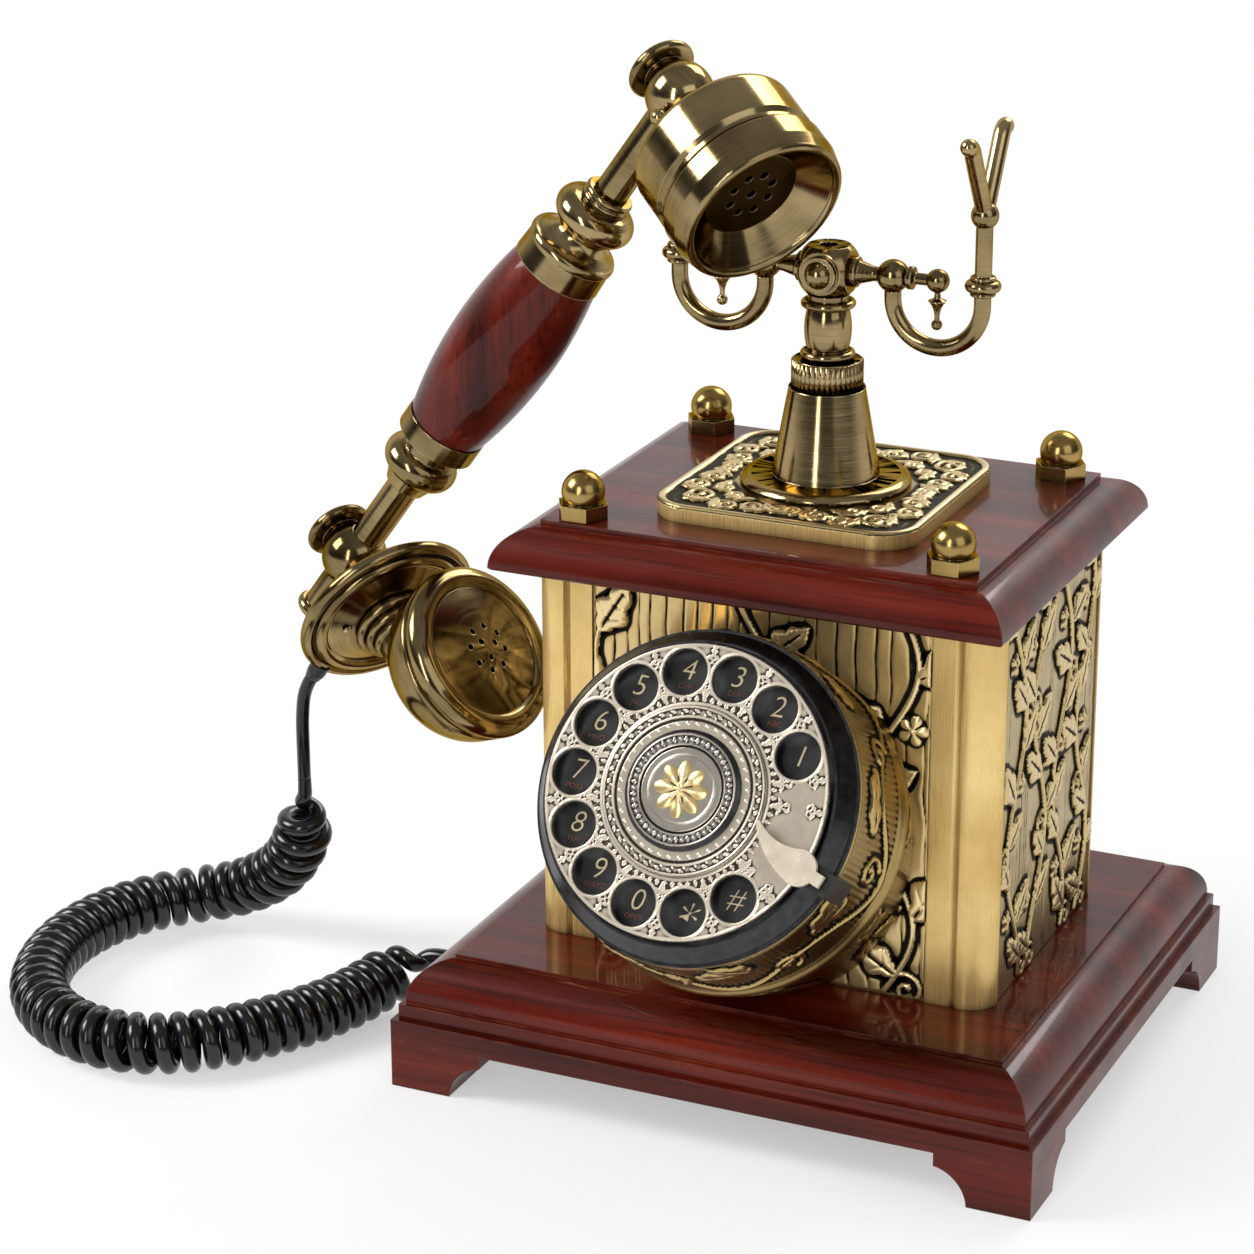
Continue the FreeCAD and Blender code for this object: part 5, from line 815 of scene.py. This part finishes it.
def place_hub():
    """Two rings of leaves and beads, plain rings and a rosette on the wheel's centre."""
    lace = Relief(2 * HUB_RADIUS, 2 * HUB_RADIUS, 0.2)
    away = np.hypot(lace.x, lace.y)
    for step in range(40):
        turn = step * math.pi / 20
        lace.leaf(22.0 * math.cos(turn), 22.0 * math.sin(turn), turn + 1.2, 1.9, 1.3, 0.28)
        lace.bead(21.5 * math.cos(turn + 0.08), 21.5 * math.sin(turn + 0.08), 0.45, 0.26)
        lace.bead(18.7 * math.cos(turn), 18.7 * math.sin(turn), 0.62, 0.26)
    lace.height = np.maximum(lace.height, 0.12)
    for ring in (20.7, 23.4):
        lace.height = np.maximum(lace.height, 0.3 * ring_at(away, ring, 0.35))
    lace.height -= 0.35 * ring_at(away, 19.9, 0.4)
    keep = (away < HUB_RADIUS - 0.1) & (away > BADGE_RADIUS - 0.3)
    relief_piece("hub_lace", lace, raised_by(HUB_FACE), keep, SILVER, "dial",
                 full=0.3, patina_and_shade=5.0)
    badge = Relief(2 * BADGE_RADIUS, 2 * BADGE_RADIUS, 0.18)
    away = np.hypot(badge.x, badge.y)
    for step in range(26):
        turn = step * math.pi / 13
        x, y = math.cos(turn), math.sin(turn)
        badge.leaf(13.1 * x, 13.1 * y, turn, 2.0, 1.5, 0.28)
        badge.bead(14.1 * math.cos(turn + 0.12), 14.1 * math.sin(turn + 0.12), 0.34, 0.24)
    badge.height = np.maximum(badge.height, np.where(away < 11.8, 0.16, 0.06))
    for ring, wide in ((15.5, 0.3), (12.6, 0.25), (9.6, 0.3)):
        badge.height = np.maximum(badge.height, 0.3 * ring_at(away, ring, wide))
    badge.height -= 0.3 * ring_at(away, 12.05, 0.3)
    relief_piece("badge_rings", badge, raised_by(BADGE_FACE), away < BADGE_RADIUS - 1.0, DIAL_SLATE, "dial",
                 full=0.3)
    rosette = Relief(17.0, 17.0, 0.2)
    for petals, radius, tall in ((8, 8.3, 0.9), (8, 5.2, 1.3), (6, 2.6, 1.6)):
        rosette.blossom(0, 0, radius, petals, tall)
    relief_piece("badge_rosette", rosette, raised_by(BADGE_FACE), rosette.height > 0.03, RELIEF, "dial",
                 full=1.2)


def dial_text(name, words, size, x, y, material, slant):
    """Flat text on the number plate."""
    text = bpy.data.curves.new(name, "FONT")
    text.body = words
    text.size = size * MM
    text.shear = slant
    text.align_x, text.align_y = "CENTER", "CENTER"
    text.extrude = 0.05 * MM
    text.offset = -0.012 * size * MM
    text.materials.append(material)
    obj = in_scene(name, text)
    obj.matrix_world = DIAL @ Matrix.Translation(Vector((x, y, NUMBER_FACE + 0.06)) * MM)
    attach(obj, "base")


def place_digits():
    """Slanted digits on the number plate under the finger holes, with the dial's plain letters below them."""
    for index, (x, y, _) in enumerate(hole_places()):
        x, y = x + DIGIT_SHIFT[0], y + DIGIT_SHIFT[1]
        size, lift = (14.0, -2.6) if DIGITS[index] == "*" else (8.6, 0.9 if DIAL_LETTERS[index] else 0.0)
        dial_text(f"digit_{index}", DIGITS[index], size, x, y + lift, DIGIT_GOLD, 0.2)
        if DIAL_LETTERS[index]:
            dial_text(f"letters_{index}", DIAL_LETTERS[index], 2.2, x, y - 3.7, LETTER_RED, 0.0)


place_wheel()
place_hub()
place_digits()


# Knurled collar and the screw in the mouthpiece's disc
def ribbed_ring(name, low, high, radius, proud, ribs, steps=6):
    """A ring whose outside is ribbed lengthwise, with small chamfers."""
    turns = np.linspace(0, 2 * math.pi, ribs * steps, endpoint=False)
    rib = np.sqrt(np.abs(np.sin(turns * ribs / 2)))
    levels = ((low, -0.3), (low + 0.25, rib * proud), (high - 0.25, rib * proud), (high, -0.3))
    rings = []
    for z, out in levels:
        reach = radius + out
        rings.append(np.stack([reach * np.cos(turns), reach * np.sin(turns), np.full_like(turns, z)], axis=1))
    count = len(turns)
    faces = [(ring * count + i, ring * count + (i + 1) % count, (ring + 1) * count + (i + 1) % count,
              (ring + 1) * count + i) for ring in range(len(levels) - 1) for i in range(count)]
    mesh = bpy.data.meshes.new(name)
    mesh.from_pydata((np.concatenate(rings) * MM).tolist(), [], faces)
    return mesh


def place_collar():
    low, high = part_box("knurled_collar")
    radius = (high.x - low.x) / 2 / MM
    mesh = ribbed_ring("collar_ribs", 0.1, (high.z - low.z) / MM - 0.1, radius, 0.7, 40)
    middle = (low + high) / 2
    foot = Matrix.Translation((middle.x, middle.y, low.z))
    piece("collar_ribs", mesh, BRASS_UP, "base", foot)


SCREW_PLACE = (26.9, -14.3, -194.9)
SCREW_RADIUS, SCREW_CROWN, SCREW_SLOT, FACE_SLOPE = 1.7, 0.7, 0.4, 0.12


def place_screw():
    """A slotted screw head on the sloping face of the mouthpiece's disc."""
    head = Relief(3.6, 3.6, 0.12)
    away = np.hypot(head.x, head.y) / SCREW_RADIUS
    slot = SCREW_SLOT * (np.abs(head.x + 0.4 * head.y) < 0.3)
    head.height = SCREW_CROWN * np.sqrt(np.clip(1 - away ** 2, 0, 1)) - slot

    def place(x, y, height):
        out, side, along = SCREW_PLACE
        return frame_points(HANDSET, out + height + (y - x) * FACE_SLOPE, side + x, along + y)

    relief_piece("disc_screw", head, place, away < 0.99, BRONZE, "handset", full=SCREW_CROWN)


place_collar()
place_screw()


# Camera, floor and light
AMBIENT = 0.42
CAMERA_SIDE = 0.06
CEILING = 0.3
FLOOR_REACH = 6.0
LAMP_AIM = BASE + Vector((0, 0, 0.13))


def place_camera():
    camera = in_scene("camera", bpy.data.cameras.new("camera"))
    up = CAMERA_RIGHT.cross(CAMERA_FORWARD).normalized()
    turn = Matrix((CAMERA_RIGHT.normalized(), up, -CAMERA_FORWARD.normalized())).transposed().to_4x4()
    camera.matrix_world = Matrix.Translation(CAMERA_PLACE) @ turn
    camera.data.lens = CAMERA_LENS
    camera.data.sensor_width = 36.0
    camera.data.clip_end = 30.0
    bpy.context.scene.camera = camera


def place_floor():
    """A pale floor that fades to white away from the telephone, where the camera or a mirror sees it."""
    mesh = bpy.data.meshes.new("floor")
    corners = [(x * FLOOR_REACH, y * FLOOR_REACH, 0) for x, y in ((-1, -1), (1, -1), (1, 1), (-1, 1))]
    mesh.from_pydata(corners, [], [(0, 1, 2, 3)])
    floor = in_scene("floor", mesh)
    floor.location.z = -0.2 * MM
    shader = Shader("floor")
    shader.set(Base_Color=(0.93, 0.93, 0.93, 1), Roughness=0.7, Specular_IOR_Level=0.2)
    white = shader.node("ShaderNodeEmission", Color=(1, 1, 1, 1), Strength=1.0)
    distance = shader.node("ShaderNodeVectorMath", operation="LENGTH")
    shader.link(shader.node("ShaderNodeTexCoord").outputs["Object"], distance.inputs[0])
    fade = shader.spread(distance.outputs["Value"], 0.1, 0.34, 0.45, 1.0)
    seen = shader.math("MAXIMUM", shader.camera_rays(), shader.mirrored_rays())
    blend = shader.node("ShaderNodeMixShader")
    shader.link(shader.math("MULTIPLY", fade, seen), blend.inputs[0])
    shader.link(shader.bsdf.outputs[0], blend.inputs[1])
    shader.link(white.outputs[0], blend.inputs[2])
    shader.link(blend.outputs[0], shader.tree.nodes["Material Output"].inputs["Surface"])
    mesh.materials.append(shader.material)


def place_world():
    """White behind the telephone and dim on the camera's side, so that the metal mirrors both."""
    world = bpy.data.worlds.new("studio")
    bpy.context.scene.world = world
    world.use_nodes = True
    nodes = Nodes(world.node_tree)
    back = nodes.tree.nodes["Background"]
    back.inputs["Color"].default_value = (1, 1, 1, 1)
    direction = nodes.node("ShaderNodeTexCoord").outputs["Generated"]
    facing = nodes.node("ShaderNodeVectorMath", operation="DOT_PRODUCT")
    nodes.link(direction, facing.inputs[0])
    facing.inputs[1].default_value = CAMERA_FORWARD.normalized()
    upward = nodes.node("ShaderNodeSeparateXYZ")
    nodes.link(direction, upward.inputs[0])
    backdrop = nodes.spread(facing.outputs["Value"], 0.0, 0.55, CAMERA_SIDE, 1.0)
    ceiling = nodes.spread(upward.outputs["Z"], 0.2, 0.8, CAMERA_SIDE, CEILING)
    camera, glossy = nodes.camera_rays(), nodes.mirrored_rays()
    plain = nodes.math("SUBTRACT", 1.0, nodes.math("MAXIMUM", glossy, camera))
    mirrored = nodes.math("MULTIPLY", glossy, nodes.math("MAXIMUM", backdrop, ceiling))
    lit = nodes.math("MULTIPLY", plain, AMBIENT)
    strength = nodes.math("ADD", nodes.math("ADD", mirrored, camera), lit)
    nodes.link(strength, back.inputs["Strength"])


def place_lamp(name, place, width, height, power):
    """A soft lamp aimed at the cabinet."""
    data = bpy.data.lights.new(name, "AREA")
    data.shape = "RECTANGLE"
    data.size, data.size_y = width, height
    data.energy = power
    lamp = in_scene(name, data)
    lamp.location = place
    lamp.rotation_euler = (LAMP_AIM - Vector(place)).to_track_quat("-Z", "Y").to_euler()


place_camera()
place_floor()
place_world()
place_lamp("key", (-1.5, -0.75, 1.4), 0.9, 0.9, 33.0)
place_lamp("fill", (1.4, -0.8, 0.9), 1.2, 1.2, 5.0)
place_lamp("strip", (0.0, -1.6, 0.7), 0.22, 1.0, 7.0)
place_lamp("rim", (0.3, 1.3, 1.3), 0.8, 0.8, 12.0)

bpy.context.scene.view_settings.view_transform = "Standard"
